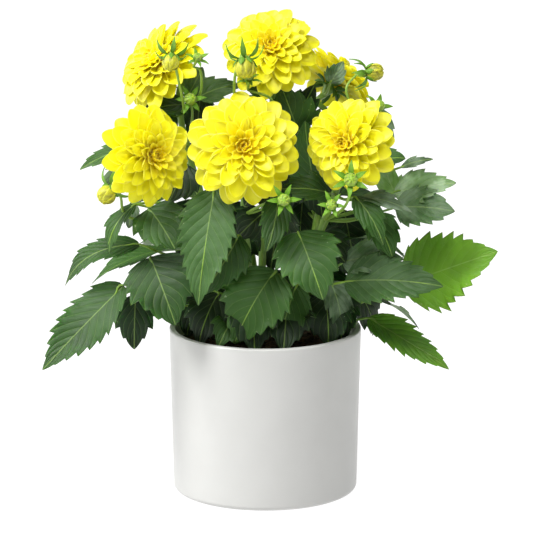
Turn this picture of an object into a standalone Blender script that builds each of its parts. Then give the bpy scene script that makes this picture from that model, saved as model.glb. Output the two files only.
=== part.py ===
"""A potted dahlia: a bushy dwarf dahlia with yellow double blooms, planted in a plain white cylinder pot.

Run it with: blender --background --factory-startup --python part.py

The origin is the middle of the pot's flat underside, +Z is up and -Y is the side that the plant is
seen from. Layout values are in millimetres and degrees; meshes are written in metres. An azimuth is
counted from +X towards +Y, so that -90 points at the viewer.
"""

import math
import random

import bpy
import numpy as np

MM = 0.001
SEED = 7

# The pot: its rim is 150 mm across and everything else on the plant is sized against it.
RIM_RADIUS = 75.0
BASE_RADIUS = 72.0
POT_HEIGHT = 130.0
WALL = 5.0
FLOOR = 7.0
FOOT_ROUNDING = 4.0
LIP_ROUNDING = 1.6
POT_SEGMENTS = 36
ARC_POINTS = 3
SHARP_FROM = 50.0

# The potting soil, and the holes that the stems stand in.
SOIL_TOP = 116.0
SOIL_SWELL = 5.0
SOIL_LUMPS = 1.4
SOIL_SEGMENTS = 20
SOIL_DOME = ((0.94, 0.10), (0.72, 0.45), (0.42, 0.8))
SEAT_GAP = 0.35
HOLE_PLAY = 0.5
HOLE_SIDES = 10
HOLE_HEIGHT = 60.0
ROOT_DEPTH = 26.0
COLLAR = 11.0
STEM_SIDES = 5

# Leaflets: their stalks leave the stem lower than the blade by a share of the distance between them.
LEAF_THICKNESS = 0.9
LEAF_FOLD = 0.16
PETIOLE_RADIUS = 1.15
STRAIGHT_STALK = 44.0
STALK_SAG = 3.0
JOINT_DROP = 0.35
LEAST_JOINT = 10.0
TIP_CROWDING = 0.92
PETAL_THICKNESS = 0.9
PETAL_WIDEST = 0.6
PETAL_SHOULDER = 0.87

# The calyx under a bloom, and the bracts round it and round the buds.
CALYX_DEPTH = 8.0
NECK = 8.0
STEM_TOP_RADIUS = 1.9
SEAT_SHARE = 0.17
CALYX = {"foot": 0.13, "reach": 0.34, "rise": -38, "under": 1.5}
BRACTS = 6
BRACT_THICKNESS = 0.9
BRACT_SUNK = 0.9
BUD_STALK_RADII = (1.6, 1.2)
BUD_SEAT_SHARE = 0.5
BRACT_FOOT = 0.55
BRACT_REACH = 1.9
BRACT_RISE = -48.0
BRACT_REACH_YOUNG = 2.6
BRACT_RISE_YOUNG = 32.0
YOUNG_SINK = 1.0
BALL = ((0, 0), (0.5, 0), (0.86, 0.5), (0.99, 1.06), (0.79, 1.6), (0.4, 1.92), (0, 2.03))
YOUNG_BALL = ((0, 0), (0.6, 0.1), (0.97, 1.0), (0.6, 1.75), (0, 2.03))

# Teeth along a leaflet's edge: their pitch, how far forward a point leans in its stretch, and the
# edge's width at a point and between two, as shares of the plain outline.
TOOTH_PITCH = 23.0
TOOTH_LEAN = 0.72
BACK_TOOTH_PITCH = 23.0
MOST_TEETH = 4
PEAK = 1.14
VALLEY = 0.94

MATERIALS = {
    "white_glazed_stoneware": ((0.86, 0.86, 0.84), 0.45),
    "potting_soil": ((0.035, 0.022, 0.014), 0.95),
    "dahlia_leaf": ((0.075, 0.17, 0.045), 0.5),
    "dahlia_petal": ((0.93, 0.80, 0.01), 0.6),
    "bud_petal": ((0.62, 0.62, 0.03), 0.6),
}

# Each stem: root on the soil, points that it passes, and the radius at its root. It ends under a bloom.
STEMS = {
    "a": {"knots": ((-16, 6, 0), (-30, 8, 175), (-52, 4, 240), (-66, -4, 300)), "radius": 3.2},
    "b": {"knots": ((-2, 12, 0), (-2, 14, 190), (4, 8, 260), (6, 2, 320)), "radius": 3.2},
    "c": {"knots": ((-6, -14, 0), (-12, -20, 170), (-16, -26, 225), (-16, -36, 265)), "radius": 3.2},
    "d": {"knots": ((-22, -12, 0), (-44, -20, 165), (-66, -24, 215), (-80, -34, 252)), "radius": 3.0},
    "e": {"knots": ((14, -10, 0), (28, -18, 170), (46, -24, 220), (60, -30, 258)), "radius": 3.2},
    "f": {"knots": ((18, 10, 0), (34, 14, 180), (46, 18, 240), (54, 20, 286)), "radius": 3.0},
    "g": {"knots": ((0, 26, 0), (-8, 44, 160), (-14, 62, 202), (-18, 76, 238)), "radius": 3.0},
}

# Each bloom: middle of its face, the way it looks (azimuth, elevation), radius.
BLOOMS = {
    "a": {"centre": (-85, -11, 344), "looks": (-153, 40), "radius": 41},
    "b": {"centre": (4, -28, 357), "looks": (-93, 38), "radius": 38},
    "c": {"centre": (-16, -82, 290), "looks": (-91, 17), "radius": 44},
    "d": {"centre": (-84, -73, 281), "looks": (-55, 9), "radius": 39},
    "e": {"centre": (60, -68, 289), "looks": (-118, 12), "radius": 38},
    "f": {"centre": (57, 32, 323), "looks": (40, 42), "radius": 36},
    "g": {"centre": (-22, 104, 262), "looks": (98, 30), "radius": 40},
}

# Whorls of petals from the outermost in, as shares of the bloom's radius:
# petals, length, width, rise in degrees, foot radius, foot height, arch, cup, rounded tip.
WHORLS = (
    (10, 0.80, 0.44, -7, 0.20, 0.09, 0.06, 0.20, True),
    (9, 0.74, 0.45, 12, 0.18, 0.18, 0.07, 0.25, True),
    (7, 0.62, 0.38, 30, 0.155, 0.27, 0.06, 0.30, False),
    (5, 0.46, 0.30, 49, 0.12, 0.35, 0.02, 0.35, False),
    (3, 0.30, 0.20, 68, 0.07, 0.42, -0.02, 0.30, False),
)
FACE_HEIGHT = 0.34
RECEPTACLE = (0.18, 0.02)
RECEPTACLE_SIDES = 6
BUTTON_HEIGHT = 0.56
PETAL_SWAY = 2.5
PETAL_LENGTHS = (0.95, 1.04)

# Leaflets that the front shows: stem, base, tip, the way the upper face looks, width, arch.
LEAVES = {
    "left_low": ("d", (-108, -46, 174), (-171, -71, 113), (-112, 42), 41, 1),
    "left_twisted": ("d", (-96, -38, 204), (-155, -32, 170), (-96, 48), 22, 18),
    "left_broad": ("d", (-88, -46, 196), (-68, -76, 149), (-92, 28), 54, 8),
    "left_dark": ("d", (-101, -2, 156), (-102, -16, 115), (-95, 12), 32, 3),
    "left_narrow": ("d", (-99, -50, 238), (-121, -62, 204), (-140, 34), 19, 6),
    "left_pointed": ("a", (-98, -12, 275), (-142, -40, 262), (-104, 52), 18, 5),
    "left_behind": ("a", (-95, -8, 264), (-124, -30, 244), (-118, 34), 28, 4),
    "left_middle": ("d", (-89, -46, 234), (-68, -72, 207), (-86, 34), 40, 5),
    "centre_long": ("c", (-38, -56, 252), (-51, -88, 168), (-96, 16), 42, 9),
    "centre_under": ("c", (-20, -40, 212), (-48, -62, 170), (-70, 22), 34, 6),
    "centre_folded": ("c", (10, -62, 247), (1, -85, 209), (-70, 22), 24, 5),
    "right_level": ("e", (50, -48, 246), (11, -66, 254), (-94, 38), 27, 4),
    "right_upright": ("e", (38, -22, 246), (30, -30, 298), (-100, 8), 34, 3),
    "right_centre": ("e", (25, -56, 218), (44, -86, 172), (-90, 24), 50, 8),
    "low_front": ("c", (8, -40, 184), (-24, -57, 131), (-98, 32), 54, 8),
    "low_right": ("e", (50, -34, 174), (58, -30, 134), (-62, 28), 28, 5),
    "low_side": ("f", (65, 6, 164), (84, 16, 118), (-52, 34), 36, 8),
    "right_long": ("e", (61, -40, 175), (136, -62, 177), (-86, 38), 42, 6),
    "right_bright": ("f", (107, -14, 167), (179, -40, 199), (-80, 26), 58, 1),
    "right_low": ("f", (80, -14, 140), (142, -50, 111), (-84, 44), 27, 0),
    "right_high": ("f", (99, -28, 243), (146, -45, 254), (-102, 38), 28, 1),
    "right_point": ("f", (100, -38, 233), (145, -52, 233), (-80, 30), 34, 5),
    "right_far": ("f", (84, -16, 262), (107, -26, 270), (-96, 50), 24, 3),
    "right_pale": ("f", (101, -14, 238), (90, -18, 266), (-110, 14), 22, 2),
    "right_edge": ("e", (72, -54, 244), (112, -62, 234), (-92, 66), 18, 4),
    "right_hang": ("e", (68, -58, 246), (90, -74, 212), (-62, 20), 22, 5),
    "right_under": ("e", (84, -30, 226), (98, -46, 196), (-80, 20), 27, 3),
    "right_grey": ("e", (60, -26, 187), (106, -40, 194), (-90, 42), 30, 5),
    "top_right_tip": ("f", (80, 4, 304), (99, -14, 279), (-70, 20), 17, 4),
    "top_left_up": ("a", (-60, 2, 312), (-48, 10, 334), (-90, 4), 20, 2),
    "top_left": ("a", (-52, -8, 313), (-19, 0, 322), (-96, 42), 24, 4),
    "under_a": ("a", (-68, -8, 298), (-100, -24, 298), (-100, 40), 34, 4),
    "top_middle": ("b", (26, -12, 286), (12, -24, 326), (-88, 6), 40, 4),
    "top_small": ("b", (4, -6, 316), (-18, -10, 330), (-90, 26), 22, 3),
    "top_right_small": ("f", (50, -9, 325), (60, -12, 342), (-80, 18), 16, 2),
    "behind_c": ("c", (2, -30, 254), (-16, -46, 236), (-80, 30), 28, 4),
    "dark_centre": ("c", (-2, -26, 226), (-22, -34, 208), (-84, 26), 30, 4),
    "dark_right": ("e", (40, -18, 206), (62, -32, 188), (-80, 30), 32, 4),
    "inner_left": ("a", (-50, 26, 226), (-62, 30, 172), (-92, 16), 50, 4),
    "inner_centre": ("g", (-16, 36, 222), (-26, 38, 166), (-88, 14), 50, 4),
    "inner_right": ("f", (30, 32, 232), (26, 32, 176), (-94, 14), 48, 4),
    "inner_far_right": ("f", (62, 30, 216), (72, 32, 160), (-86, 18), 50, 4),
    "inner_low_left": ("a", (-34, 24, 176), (-44, 26, 130), (-90, 20), 44, 3),
    "inner_low_centre": ("g", (0, 34, 168), (6, 34, 128), (-90, 18), 46, 3),
    "inner_low_right": ("f", (42, 30, 172), (50, 30, 128), (-90, 18), 44, 3),
    "low_centre": ("c", (24, -36, 172), (10, -50, 130), (-90, 24), 34, 5),
    "rim_left": ("d", (-40, -20, 148), (-54, -32, 132), (-100, 40), 26, 4),
    "rim_front": ("d", (-24, -34, 144), (-36, -56, 127), (-92, 46), 24, 4),
    "mouth_left": ("d", (-36, -24, 162), (-52, -40, 125), (-104, 30), 34, 6),
    "mouth_left_dark": ("d", (-46, -6, 158), (-62, -16, 126), (-112, 28), 34, 5),
    "mouth_front": ("c", (-10, -36, 160), (-8, -63, 125), (-90, 34), 40, 6),
    "mouth_centre": ("c", (17, -31, 158), (14, -62, 125), (-88, 34), 40, 6),
    "mouth_right": ("e", (46, -20, 160), (49, -44, 125), (-80, 32), 40, 6),
    "mouth_far_right": ("f", (50, -6, 160), (60, -28, 125), (-70, 32), 38, 5),
    "mouth_right_dark": ("f", (52, 12, 158), (66, 2, 126), (-62, 28), 32, 5),
    "gap_centre": ("g", (12, 24, 262), (8, 22, 210), (-90, 14), 46, 3),
    "gap_right": ("f", (36, 16, 268), (45, 12, 214), (-88, 14), 44, 3),
    "gap_left": ("a", (-34, 16, 278), (-30, 16, 226), (-92, 14), 40, 3),
    "gap_middle": ("b", (12, 18, 226), (4, 16, 170), (-88, 14), 36, 3),
    "gap_top": ("b", (22, -2, 292), (38, -4, 322), (-86, 10), 24, 2),
    "back_high": ("b", (-6, 46, 300), (-10, 98, 288), (95, 58), 36, 6),
    "gap_left_high": ("a", (-50, 10, 314), (-54, 8, 272), (-92, 10), 26, 2),
    "left_hang": ("d", (-100, -38, 236), (-105, -40, 217), (-100, 20), 13, 2),
    "right_sliver": ("f", (104, -26, 262), (129, -34, 270), (-96, 50), 9, 2),
    "behind_d": ("d", (-60, -24, 264), (-74, -33, 236), (-90, 20), 34, 3),
    "under_a_front": ("a", (-62, -12, 308), (-84, -34, 310), (-96, 30), 22, 2),
}

# Leaflets round the back, in tiers: height of the base, leaflets, reach of the base and of the tip,
# drop of the tip, first azimuth and the last one, width.
BACK_TIERS = (
    (158, 5, 54, 118, 34, 12, 164, 42),
    (194, 5, 58, 132, 24, 26, 190, 48),
    (230, 4, 56, 122, 20, 20, 164, 44),
    (264, 2, 52, 106, 14, 40, 150, 38),
)
BACK_SWAY = 8.0
BACK_LENGTHS = (0.92, 1.05)
BACK_RISE = 58
BACK_ARCH = 8
NEAR_BELOW = 15

# Buds: stem, height where the stalk leaves it, points that the stalk passes, place of the ball, the way
# that the bud looks, ball radius. The yellow ones nod or face aside; the green ones are young.
YELLOW_BUDS = {
    "bud_top_left": ("a", 290, ((-62, -42, 312), (-66, -58, 338)), (-71, -68, 351), (-95, -40), 6.2),
    "bud_top": ("b", 290, ((-20, -36, 312), (-23, -58, 338)), (-15, -68, 347), (-80, -58), 7.4),
    "bud_right": ("f", 262, ((70, -18, 292), (62, -26, 322)), (84, -18, 335), (-10, 10), 6.4),
    "bud_left": ("d", 222, ((-104, -50, 228), (-110, -54, 244)), (-120, -70, 250), (-125, -30), 7.0),
}
GREEN_BUDS = {
    "young_front": ("e", 226, ((56, -60, 234), (62, -94, 250)), (64, -101, 268), (-90, 22), 5.0),
    "young_centre": ("c", 230, ((0, -56, 240),), (14, -94, 251), (-90, 10), 4.5),
    "young_right": ("e", 220, ((50, -58, 236),), (50, -88, 246), (-100, 20), 4.0),
    "young_top_left": ("a", 284, ((-56, -20, 300),), (-57, -40, 318), (-90, 20), 4.5),
    "young_top_right": ("f", 276, ((72, 2, 290),), (87, -20, 309), (-60, 30), 4.5),
    "young_top": ("b", 284, ((8, -36, 304), (4, -48, 320)), (-13, -54, 337), (-90, 70), 4.0),
    "young_dark": ("a", 290, ((-50, -34, 320), (-49, -44, 340)), (-51, -52, 352), (-60, 50), 3.6),
    "young_back": ("g", 226, ((8, 72, 236),), (32, 84, 262), (70, 30), 4.5),
}


def unit(vector):
    """The vector at length one."""
    vector = np.asarray(vector, float)
    return vector / np.linalg.norm(vector)


def direction(azimuth, elevation):
    """Unit vector that points at an azimuth and an elevation above the horizon, both in degrees."""
    a, e = math.radians(azimuth), math.radians(elevation)
    return np.array([math.cos(a) * math.cos(e), math.sin(a) * math.cos(e), math.sin(e)])


def add_object(name, points, faces, material):
    """A mesh object from points in millimetres and faces."""
    mesh = bpy.data.meshes.new(name)
    mesh.from_pydata([tuple(p) for p in np.asarray(points) * MM], [], [tuple(f) for f in faces])
    mesh.materials.append(MATERIAL[material])
    made = bpy.data.objects.new(name, mesh)
    bpy.context.scene.collection.objects.link(made)
    return made


def lathe(profile, segments):
    """Points and faces of a profile of (radius, height) turned about Z, from axis point to axis point."""
    points, faces = [(0, 0, profile[0][1])], []
    for radius, height in profile[1:-1]:
        for k in range(segments):
            turn = 2 * math.pi * k / segments
            points.append((radius * math.cos(turn), radius * math.sin(turn), height))
    points.append((0, 0, profile[-1][1]))
    rings = len(profile) - 2
    for k in range(segments):
        after = (k + 1) % segments
        faces.append((0, 1 + after, 1 + k))
        for ring in range(rings - 1):
            low, high = 1 + ring * segments, 1 + (ring + 1) * segments
            faces.append((low + k, low + after, high + after, high + k))
        top = 1 + (rings - 1) * segments
        faces.append((top + k, top + after, len(points) - 1))
    return np.array(points, float), faces


def smooth_path(knots, per_span):
    """Points of a smooth curve that passes all the knots, per_span of them between two knots."""
    knots = np.asarray(knots, float)
    padded = np.vstack([2 * knots[0] - knots[1], knots, 2 * knots[-1] - knots[-2]])
    path = []
    for p0, p1, p2, p3 in zip(padded, padded[1:], padded[2:], padded[3:]):
        for t in np.arange(per_span) / per_span:
            path.append(
                0.5 * (2 * p1 + (p2 - p0) * t + (2 * p0 - 5 * p1 + 4 * p2 - p3) * t**2
                       + (3 * p1 - p0 - 3 * p2 + p3) * t**3)
            )
    return np.vstack([path, knots[-1]])


def tube(path, radii, sides):
    """Points and faces of a closed tube along a path, whose rings turn as little as they can."""
    path = np.asarray(path, float)
    ahead = np.gradient(path, axis=0)
    across = unit(np.cross(ahead[0], (0.3, 0.9, 0.2)))
    points, faces = [], []
    for centre, along, radius in zip(path, ahead, radii):
        along = unit(along)
        across = unit(across - along * (across @ along))
        other = np.cross(along, across)
        for k in range(sides):
            turn = 2 * math.pi * k / sides
            points.append(centre + radius * (across * math.cos(turn) + other * math.sin(turn)))
    for ring in range(len(path) - 1):
        low, high = ring * sides, (ring + 1) * sides
        for k in range(sides):
            after = (k + 1) % sides
            faces.append((low + k, low + after, high + after, high + k))
    last = (len(path) - 1) * sides
    faces.append(tuple(range(sides))[::-1])
    faces.append(tuple(range(last, last + sides)))
    return np.array(points), faces


class Blade:
    """A leaflet, petal or bract: a surface along a rib that arches from base to tip.

    The rib leaves the straight line from base to tip by arch at its middle, towards the way the face
    looks. Across the rib the blade is width * outline(u) wide, and its sides lift by cup times the
    distance from the rib.
    """

    def __init__(self, base, tip, looks, width, arch, cup, outline):
        self.base = np.asarray(base, float)
        self.chord = np.asarray(tip, float) - self.base
        self.along = unit(self.chord)
        self.up = unit(looks - self.along * (looks @ self.along))
        self.side = np.cross(self.along, self.up)
        self.width, self.arch, self.cup, self.outline = width, arch, cup, outline

    def rib(self, u):
        """Point of the rib at u, from 0 at the base to 1 at the tip."""
        return self.base + self.chord * u + self.up * self.arch * 4 * u * (1 - u)

    def normal(self, u):
        """The way the face looks at u."""
        ahead = unit(self.chord + self.up * self.arch * 4 * (1 - 2 * u))
        return np.cross(self.side, ahead)

    def point(self, u, v):
        """Point at u along the rib and v across it, from -1 to 1 at the plain edge."""
        half = self.width / 2 * self.outline(u)
        return self.rib(u) + self.side * half * v + self.normal(u) * self.cup * half * abs(v)


def leaf_outline(u):
    """Ovate: rounded near the base, widest at a third of the length, drawn out to a point."""
    return math.sin(math.pi * u**0.66) ** 0.85


def petal_outline(u):
    """Widest past the middle, with a blunt tip."""
    return math.sin(math.pi * min(u, 1) ** 1.25) ** 0.62 if 0 < u < 1 else 0.0


def half_blade(rib, edge, peaks):
    """Triangles of one side of a blade, between the points of its rib, its edge and its teeth."""
    found = []
    last = len(rib) - 2
    for k in range(last + 1):
        near, far = rib[k], rib[k + 1]
        if peaks:
            found.append((near, peaks[k], far))
            if k:
                found.append((near, edge[k], peaks[k]))
            if k < last:
                found.append((far, peaks[k], edge[k + 1]))
        else:
            if k:
                found.append((near, edge[k], far))
            if k < last:
                found.append((far, edge[k], edge[k + 1]) if k else (near, edge[1], far))
    return found


def blade_solid(blade, stations, toothed, thickness):
    """Points and faces of a thick blade. stations are the rib's points from base to tip.

    Each inner station has one edge point on each side. On a toothed blade, each stretch between two
    stations also has a tooth's point, which stands out and forward.
    """
    grid = [(u, 0.0) for u in stations]
    rib = list(range(len(stations)))
    upper = []
    for side in (-1, 1):
        edge, peaks = {}, []
        for k in rib[1:-1]:
            edge[k] = len(grid)
            grid.append((stations[k], side * (VALLEY if toothed else 1.0)))
        if toothed:
            for here, there in zip(stations, stations[1:]):
                peaks.append(len(grid))
                grid.append((here + TOOTH_LEAN * (there - here), side * PEAK))
        upper += half_blade(rib, edge, peaks)
    flat = np.array(grid)
    turned = []
    for a, b, c in upper:
        (x1, y1), (x2, y2) = flat[b] - flat[a], flat[c] - flat[a]
        turned.append((a, b, c) if x1 * y2 < x2 * y1 else (a, c, b))
    return thicken(blade, grid, turned, thickness)


def thicken(blade, grid, upper, thickness):
    """The surface's triangles offset to both sides of the blade, and the wall round its edge."""
    top, bottom = [], []
    for u, v in grid:
        middle, half = blade.point(u, v), blade.normal(u) * thickness / 2
        top.append(middle + half)
        bottom.append(middle - half)
    count = len(grid)
    directed = {pair for a, b, c in upper for pair in ((a, b), (b, c), (c, a))}
    faces = list(upper) + [(count + c, count + b, count + a) for a, b, c in upper]
    for a, b in sorted(directed):
        if (b, a) not in directed:
            faces += [(b, a, count + a), (b, count + a, count + b)]
    return np.array(top + bottom), faces


def leaf_stations(length, pitch):
    """Rib points of a leaflet, closer together near the tip, with a tooth on each side between two."""
    teeth = max(2, min(MOST_TEETH, round(length / pitch)))
    return [(k / teeth) ** TIP_CROWDING for k in range(teeth + 1)]


def joint_on_stem(path, base):
    """Point of the stem that a stalk to base grows from, lower than base by a share of its distance."""
    at_level = path[np.abs(path[:, 2] - base[2]).argmin()]
    away = np.hypot(*(at_level - base)[:2])
    wanted = max(base[2] - JOINT_DROP * away, SOIL_TOP + LEAST_JOINT)
    return path[np.abs(path[:, 2] - wanted).argmin()]


def leaf_piece(stem_path, base, tip, looks, width, arch, pitch=TOOTH_PITCH):
    """One closed piece: a toothed leaflet, and its stalk back to the middle of its stem."""
    blade = Blade(base, tip, direction(*looks), width, arch, LEAF_FOLD, leaf_outline)
    stations = leaf_stations(np.linalg.norm(blade.chord), pitch)
    points, faces = blade_solid(blade, stations, True, LEAF_THICKNESS)
    top, bottom = 0, len(points) // 2
    joint = joint_on_stem(stem_path, blade.base)
    path = [joint, blade.base]
    if np.linalg.norm(blade.base - joint) > STRAIGHT_STALK:
        path.insert(1, (joint + blade.base) / 2 + np.array([0, 0, -STALK_SAG]))
    last = len(path) - 1
    rings, up = [], blade.up
    for k in range(last, -1, -1):
        ahead = unit(path[min(k + 1, last)] - path[max(k - 1, 0)])
        up = unit(up - ahead * (up @ ahead))
        side = np.cross(ahead, up)
        rings.insert(0, [path[k] + PETIOLE_RADIUS * way for way in (up, side, -up, -side)])
    first = len(points)
    right, left = first, first + 1
    extra = [rings[last][1], rings[last][3]]
    numbers = []
    for ring in rings[:last]:
        numbers.append([first + len(extra) + k for k in range(4)])
        extra += ring
    numbers.append([top, right, bottom, left])
    kept = []
    for face in faces:
        if top in face and bottom in face:
            a = [p for p in face if p not in (top, bottom)][0]
            at = face.index(top)
            follows = face[(at + 1) % 3] == bottom
            middle = left if not follows else right
            turned = (a, top, middle) if follows else (a, middle, top)
            other = (a, middle, bottom) if follows else (a, bottom, middle)
            kept += [turned, other]
        else:
            kept.append(face)
    for low, high in zip(numbers, numbers[1:]):
        for k in range(4):
            after = (k + 1) % 4
            kept.append((low[k], low[after], high[after], high[k]))
    kept.append(tuple(numbers[0][::-1]))
    return np.vstack([points, extra]), kept


def zip_rings(low, high):
    """Triangles between two rings, each a list of (azimuth, point number) by rising azimuth."""
    start = low[0][0]
    low = [((turn - start) % 360, number) for turn, number in low]
    high = sorted(((turn - start) % 360, number) for turn, number in high)
    low.append((360, low[0][1]))
    high.append((360 + high[0][0], high[0][1]))
    i, j, faces = 0, 0, []
    while i < len(low) - 1 or j < len(high) - 1:
        low_next = low[i + 1][0] if i < len(low) - 1 else math.inf
        high_next = high[j + 1][0] if j < len(high) - 1 else math.inf
        if low_next <= high_next:
            faces.append((low[i][1], low[i + 1][1], high[j][1]))
            i += 1
        else:
            faces.append((low[i][1], high[j + 1][1], high[j][1]))
            j += 1
    return faces


def petal_points(blade, rounded):
    """Points of a petal's edge as (u, v), from one side of its foot round its tip to the other side."""
    sides = (PETAL_WIDEST, PETAL_SHOULDER) if rounded else (PETAL_WIDEST,)
    loop = [(u, 1) for u in sides] + [(1.0, 0)] + [(u, -1) for u in reversed(sides)]
    return [(blade.point(u, v), blade.normal(u)) for u, v in loop]


def bloom_piece(bloom):
    """A bloom as one closed piece in its own frame, with its axis along Z.

    Each whorl is a ring of petals. Two petals of a whorl meet at the foot, and a narrow band joins the
    feet of a whorl to those of the next one, so that the bands make up the receptacle.
    """
    draw = random.Random(SEED + round(bloom["radius"] * 10 + bloom["centre"][0]))
    size = bloom["radius"]
    thick = PETAL_THICKNESS / 2
    foot_radius, foot_height = RECEPTACLE
    points = [np.array([0, 0, foot_height * size])]
    ring = []
    for k in range(RECEPTACLE_SIDES):
        around = 360 * k / RECEPTACLE_SIDES
        ring.append((around, len(points)))
        points.append(direction(around, 0) * foot_radius * size + points[0])
    faces = [(0, ring[(k + 1) % RECEPTACLE_SIDES][1], ring[k][1]) for k in range(RECEPTACLE_SIDES)]
    turn = draw.uniform(0, 360)
    for count, length, width, rise, foot, height, arch, cup, rounded in WHORLS:
        turn += 180 / count
        tops, bottoms = [], []
        lift = np.array([0, 0, height])
        for k in range(count):
            azimuth = (turn + 360 * (k - 0.5) / count) % 360
            normal = direction(azimuth + 180, 90 - rise)
            valley = (direction(azimuth, 0) * foot + lift) * size
            tops.append((azimuth, len(points)))
            bottoms.append((azimuth, len(points) + 1))
            points += [valley + normal * thick, valley - normal * thick]
        for k in range(count):
            azimuth = turn + 360 * k / count + draw.uniform(-PETAL_SWAY, PETAL_SWAY)
            slope = rise + draw.uniform(-PETAL_SWAY, PETAL_SWAY)
            base = (direction(azimuth, 0) * foot + lift) * size
            tip = base + direction(azimuth, slope) * length * size * draw.uniform(*PETAL_LENGTHS)
            face = direction(azimuth + 180, 90 - slope)
            blade = Blade(base, tip, face, width * size, arch * size, cup, petal_outline)
            top, bottom = [tops[k][1]], [bottoms[k][1]]
            for middle, normal in petal_points(blade, rounded):
                top.append(len(points))
                bottom.append(len(points) + 1)
                points += [middle + normal * thick, middle - normal * thick]
            after = (k + 1) % count
            top.append(tops[after][1])
            bottom.append(bottoms[after][1])
            tip_at = len(top) // 2
            for m in range(len(top)):
                ahead = (m + 1) % len(top)
                if tip_at not in (m, ahead):
                    faces.append((top[m], top[ahead], top[tip_at]))
                    faces.append((bottom[ahead], bottom[m], bottom[tip_at]))
                if ahead:
                    faces.append((top[ahead], top[m], bottom[m]))
                    faces.append((top[ahead], bottom[m], bottom[ahead]))
        faces += zip_rings(ring, sorted(bottoms))
        ring = sorted(tops)
    points.append(np.array([0, 0, BUTTON_HEIGHT * size]))
    for k in range(len(ring)):
        faces.append((ring[k][1], ring[(k + 1) % len(ring)][1], len(points) - 1))
    return np.array(points), faces


def star_piece(foot, reach, rise):
    """A whorl of narrow pointed bracts round an axis, joined at their feet: one closed piece."""
    up = np.array([0, 0, BRACT_THICKNESS / 2])
    slope = direction(0, rise)
    tip_out, tip_up = foot * 0.6 + reach * slope[0], reach * slope[2]
    middle = [np.array([0, 0, 0.0])]
    for k in range(BRACTS):
        middle.append(direction(360 * (k - 0.5) / BRACTS, 0) * foot)
        middle.append(direction(360 * k / BRACTS, 0) * tip_out + np.array([0, 0, tip_up]))
    shift = len(middle)
    points = [p + up for p in middle] + [p - up for p in middle]
    faces = []
    for k in range(BRACTS):
        valley, tip, after = 1 + 2 * k, 2 + 2 * k, 1 + 2 * ((k + 1) % BRACTS)
        for a, b, c in ((0, valley, after), (valley, tip, after)):
            faces += [(a, b, c), (shift + c, shift + b, shift + a)]
        for a, b in ((valley, tip), (tip, after)):
            faces += [(b, a, shift + a), (b, shift + a, shift + b)]
    return np.array(points), faces


def bloom_frame(bloom):
    """The receptacle's foot point, and the rotation whose columns are the bloom's own axes."""
    axis = direction(*bloom["looks"])
    across = unit(np.cross((0, 0, 1), axis))
    turned = np.column_stack([across, np.cross(axis, across), axis])
    return np.array(bloom["centre"], float) - axis * FACE_HEIGHT * bloom["radius"], turned


def place(piece, origin, turned):
    """A piece moved from its own frame to the plant's."""
    points, faces = piece
    return np.asarray(points) @ turned.T + origin, faces


def stem_piece(name):
    """The stem's centreline above the soil, and its tube, which widens into the calyx under its bloom."""
    bloom = BLOOMS[name]
    seat, turned = bloom_frame(bloom)
    size = bloom["radius"]
    seat = seat + turned[:, 2] * (RECEPTACLE[1] * size - SEAT_GAP)
    neck = seat - turned[:, 2] * CALYX_DEPTH
    knots = [(x, y, z or SOIL_TOP + COLLAR) for x, y, z in STEMS[name]["knots"]]
    path = smooth_path([*knots, neck - turned[:, 2] * NECK, neck], 2)
    foot = path[0] - np.array([0, 0, ROOT_DEPTH + COLLAR])
    thick = STEMS[name]["radius"]
    radii = list(np.linspace(thick, STEM_TOP_RADIUS, len(path)))
    whole = np.vstack([foot, path, seat])
    return path, tube(whole, [thick, *radii, SEAT_SHARE * size], STEM_SIDES)


def bud_pieces(stem_path, joint_height, passes, ball, looks, radius, young):
    """A bud's stalk and bracts, and its ball, in the plant's frame."""
    axis = direction(*looks)
    across = unit(np.cross((0.1, 0.2, 1), axis))
    turned = np.column_stack([across, np.cross(axis, across), axis])
    foot = np.array(ball, float) - axis * radius
    joint = stem_path[np.abs(stem_path[:, 2] - joint_height).argmin()]
    end = foot + axis * (YOUNG_SINK if young else -SEAT_GAP)
    path = smooth_path([joint, *passes, end - axis * NECK], 2)
    radii = list(np.linspace(*BUD_STALK_RADII, len(path)))
    stalk = tube(np.vstack([path, end]), [*radii, radius * BUD_SEAT_SHARE], 4)
    spread = BRACT_RISE_YOUNG if young else BRACT_RISE
    reach = radius * (BRACT_REACH_YOUNG if young else BRACT_REACH)
    star = star_piece(radius * BRACT_FOOT, reach, spread)
    sunk = end - axis * (BRACT_SUNK * BRACT_THICKNESS)
    sides, steps = (5, YOUNG_BALL) if young else (8, BALL)
    profile = [(radius * r, radius * h) for r, h in steps]
    return stalk, place(star, sunk, turned), place(lathe(profile, sides), foot, turned)


def fuse(name, pieces, material):
    """One body from pieces that overlap: a Boolean union on a collection, applied."""
    body = add_object(name, *pieces[0], material)
    if len(pieces) == 1:
        return body
    group = bpy.data.collections.new(name + "_pieces")
    bpy.context.scene.collection.children.link(group)
    for k, (points, faces) in enumerate(pieces[1:]):
        piece = add_object(f"{name}_piece_{k}", points, faces, material)
        bpy.context.scene.collection.objects.unlink(piece)
        group.objects.link(piece)
    join = body.modifiers.new("union", "BOOLEAN")
    join.operation = "UNION"
    join.operand_type = "COLLECTION"
    join.collection = group
    join.solver = "MANIFOLD"
    graph = bpy.context.evaluated_depsgraph_get()
    body.data = bpy.data.meshes.new_from_object(body.evaluated_get(graph))
    body.modifiers.clear()
    for piece in list(group.objects):
        bpy.data.objects.remove(piece)
    bpy.data.collections.remove(group)
    return body


def arc(centre, radius, start, end):
    """Points of an arc in the (radius, height) plane, angles in degrees."""
    angles = np.radians(np.linspace(start, end, ARC_POINTS))
    return [(centre[0] + radius * math.cos(a), centre[1] + radius * math.sin(a)) for a in angles]


def wall_radius(height):
    """Outer radius of the pot at a height."""
    return BASE_RADIUS + (RIM_RADIUS - BASE_RADIUS) * height / POT_HEIGHT


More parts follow.
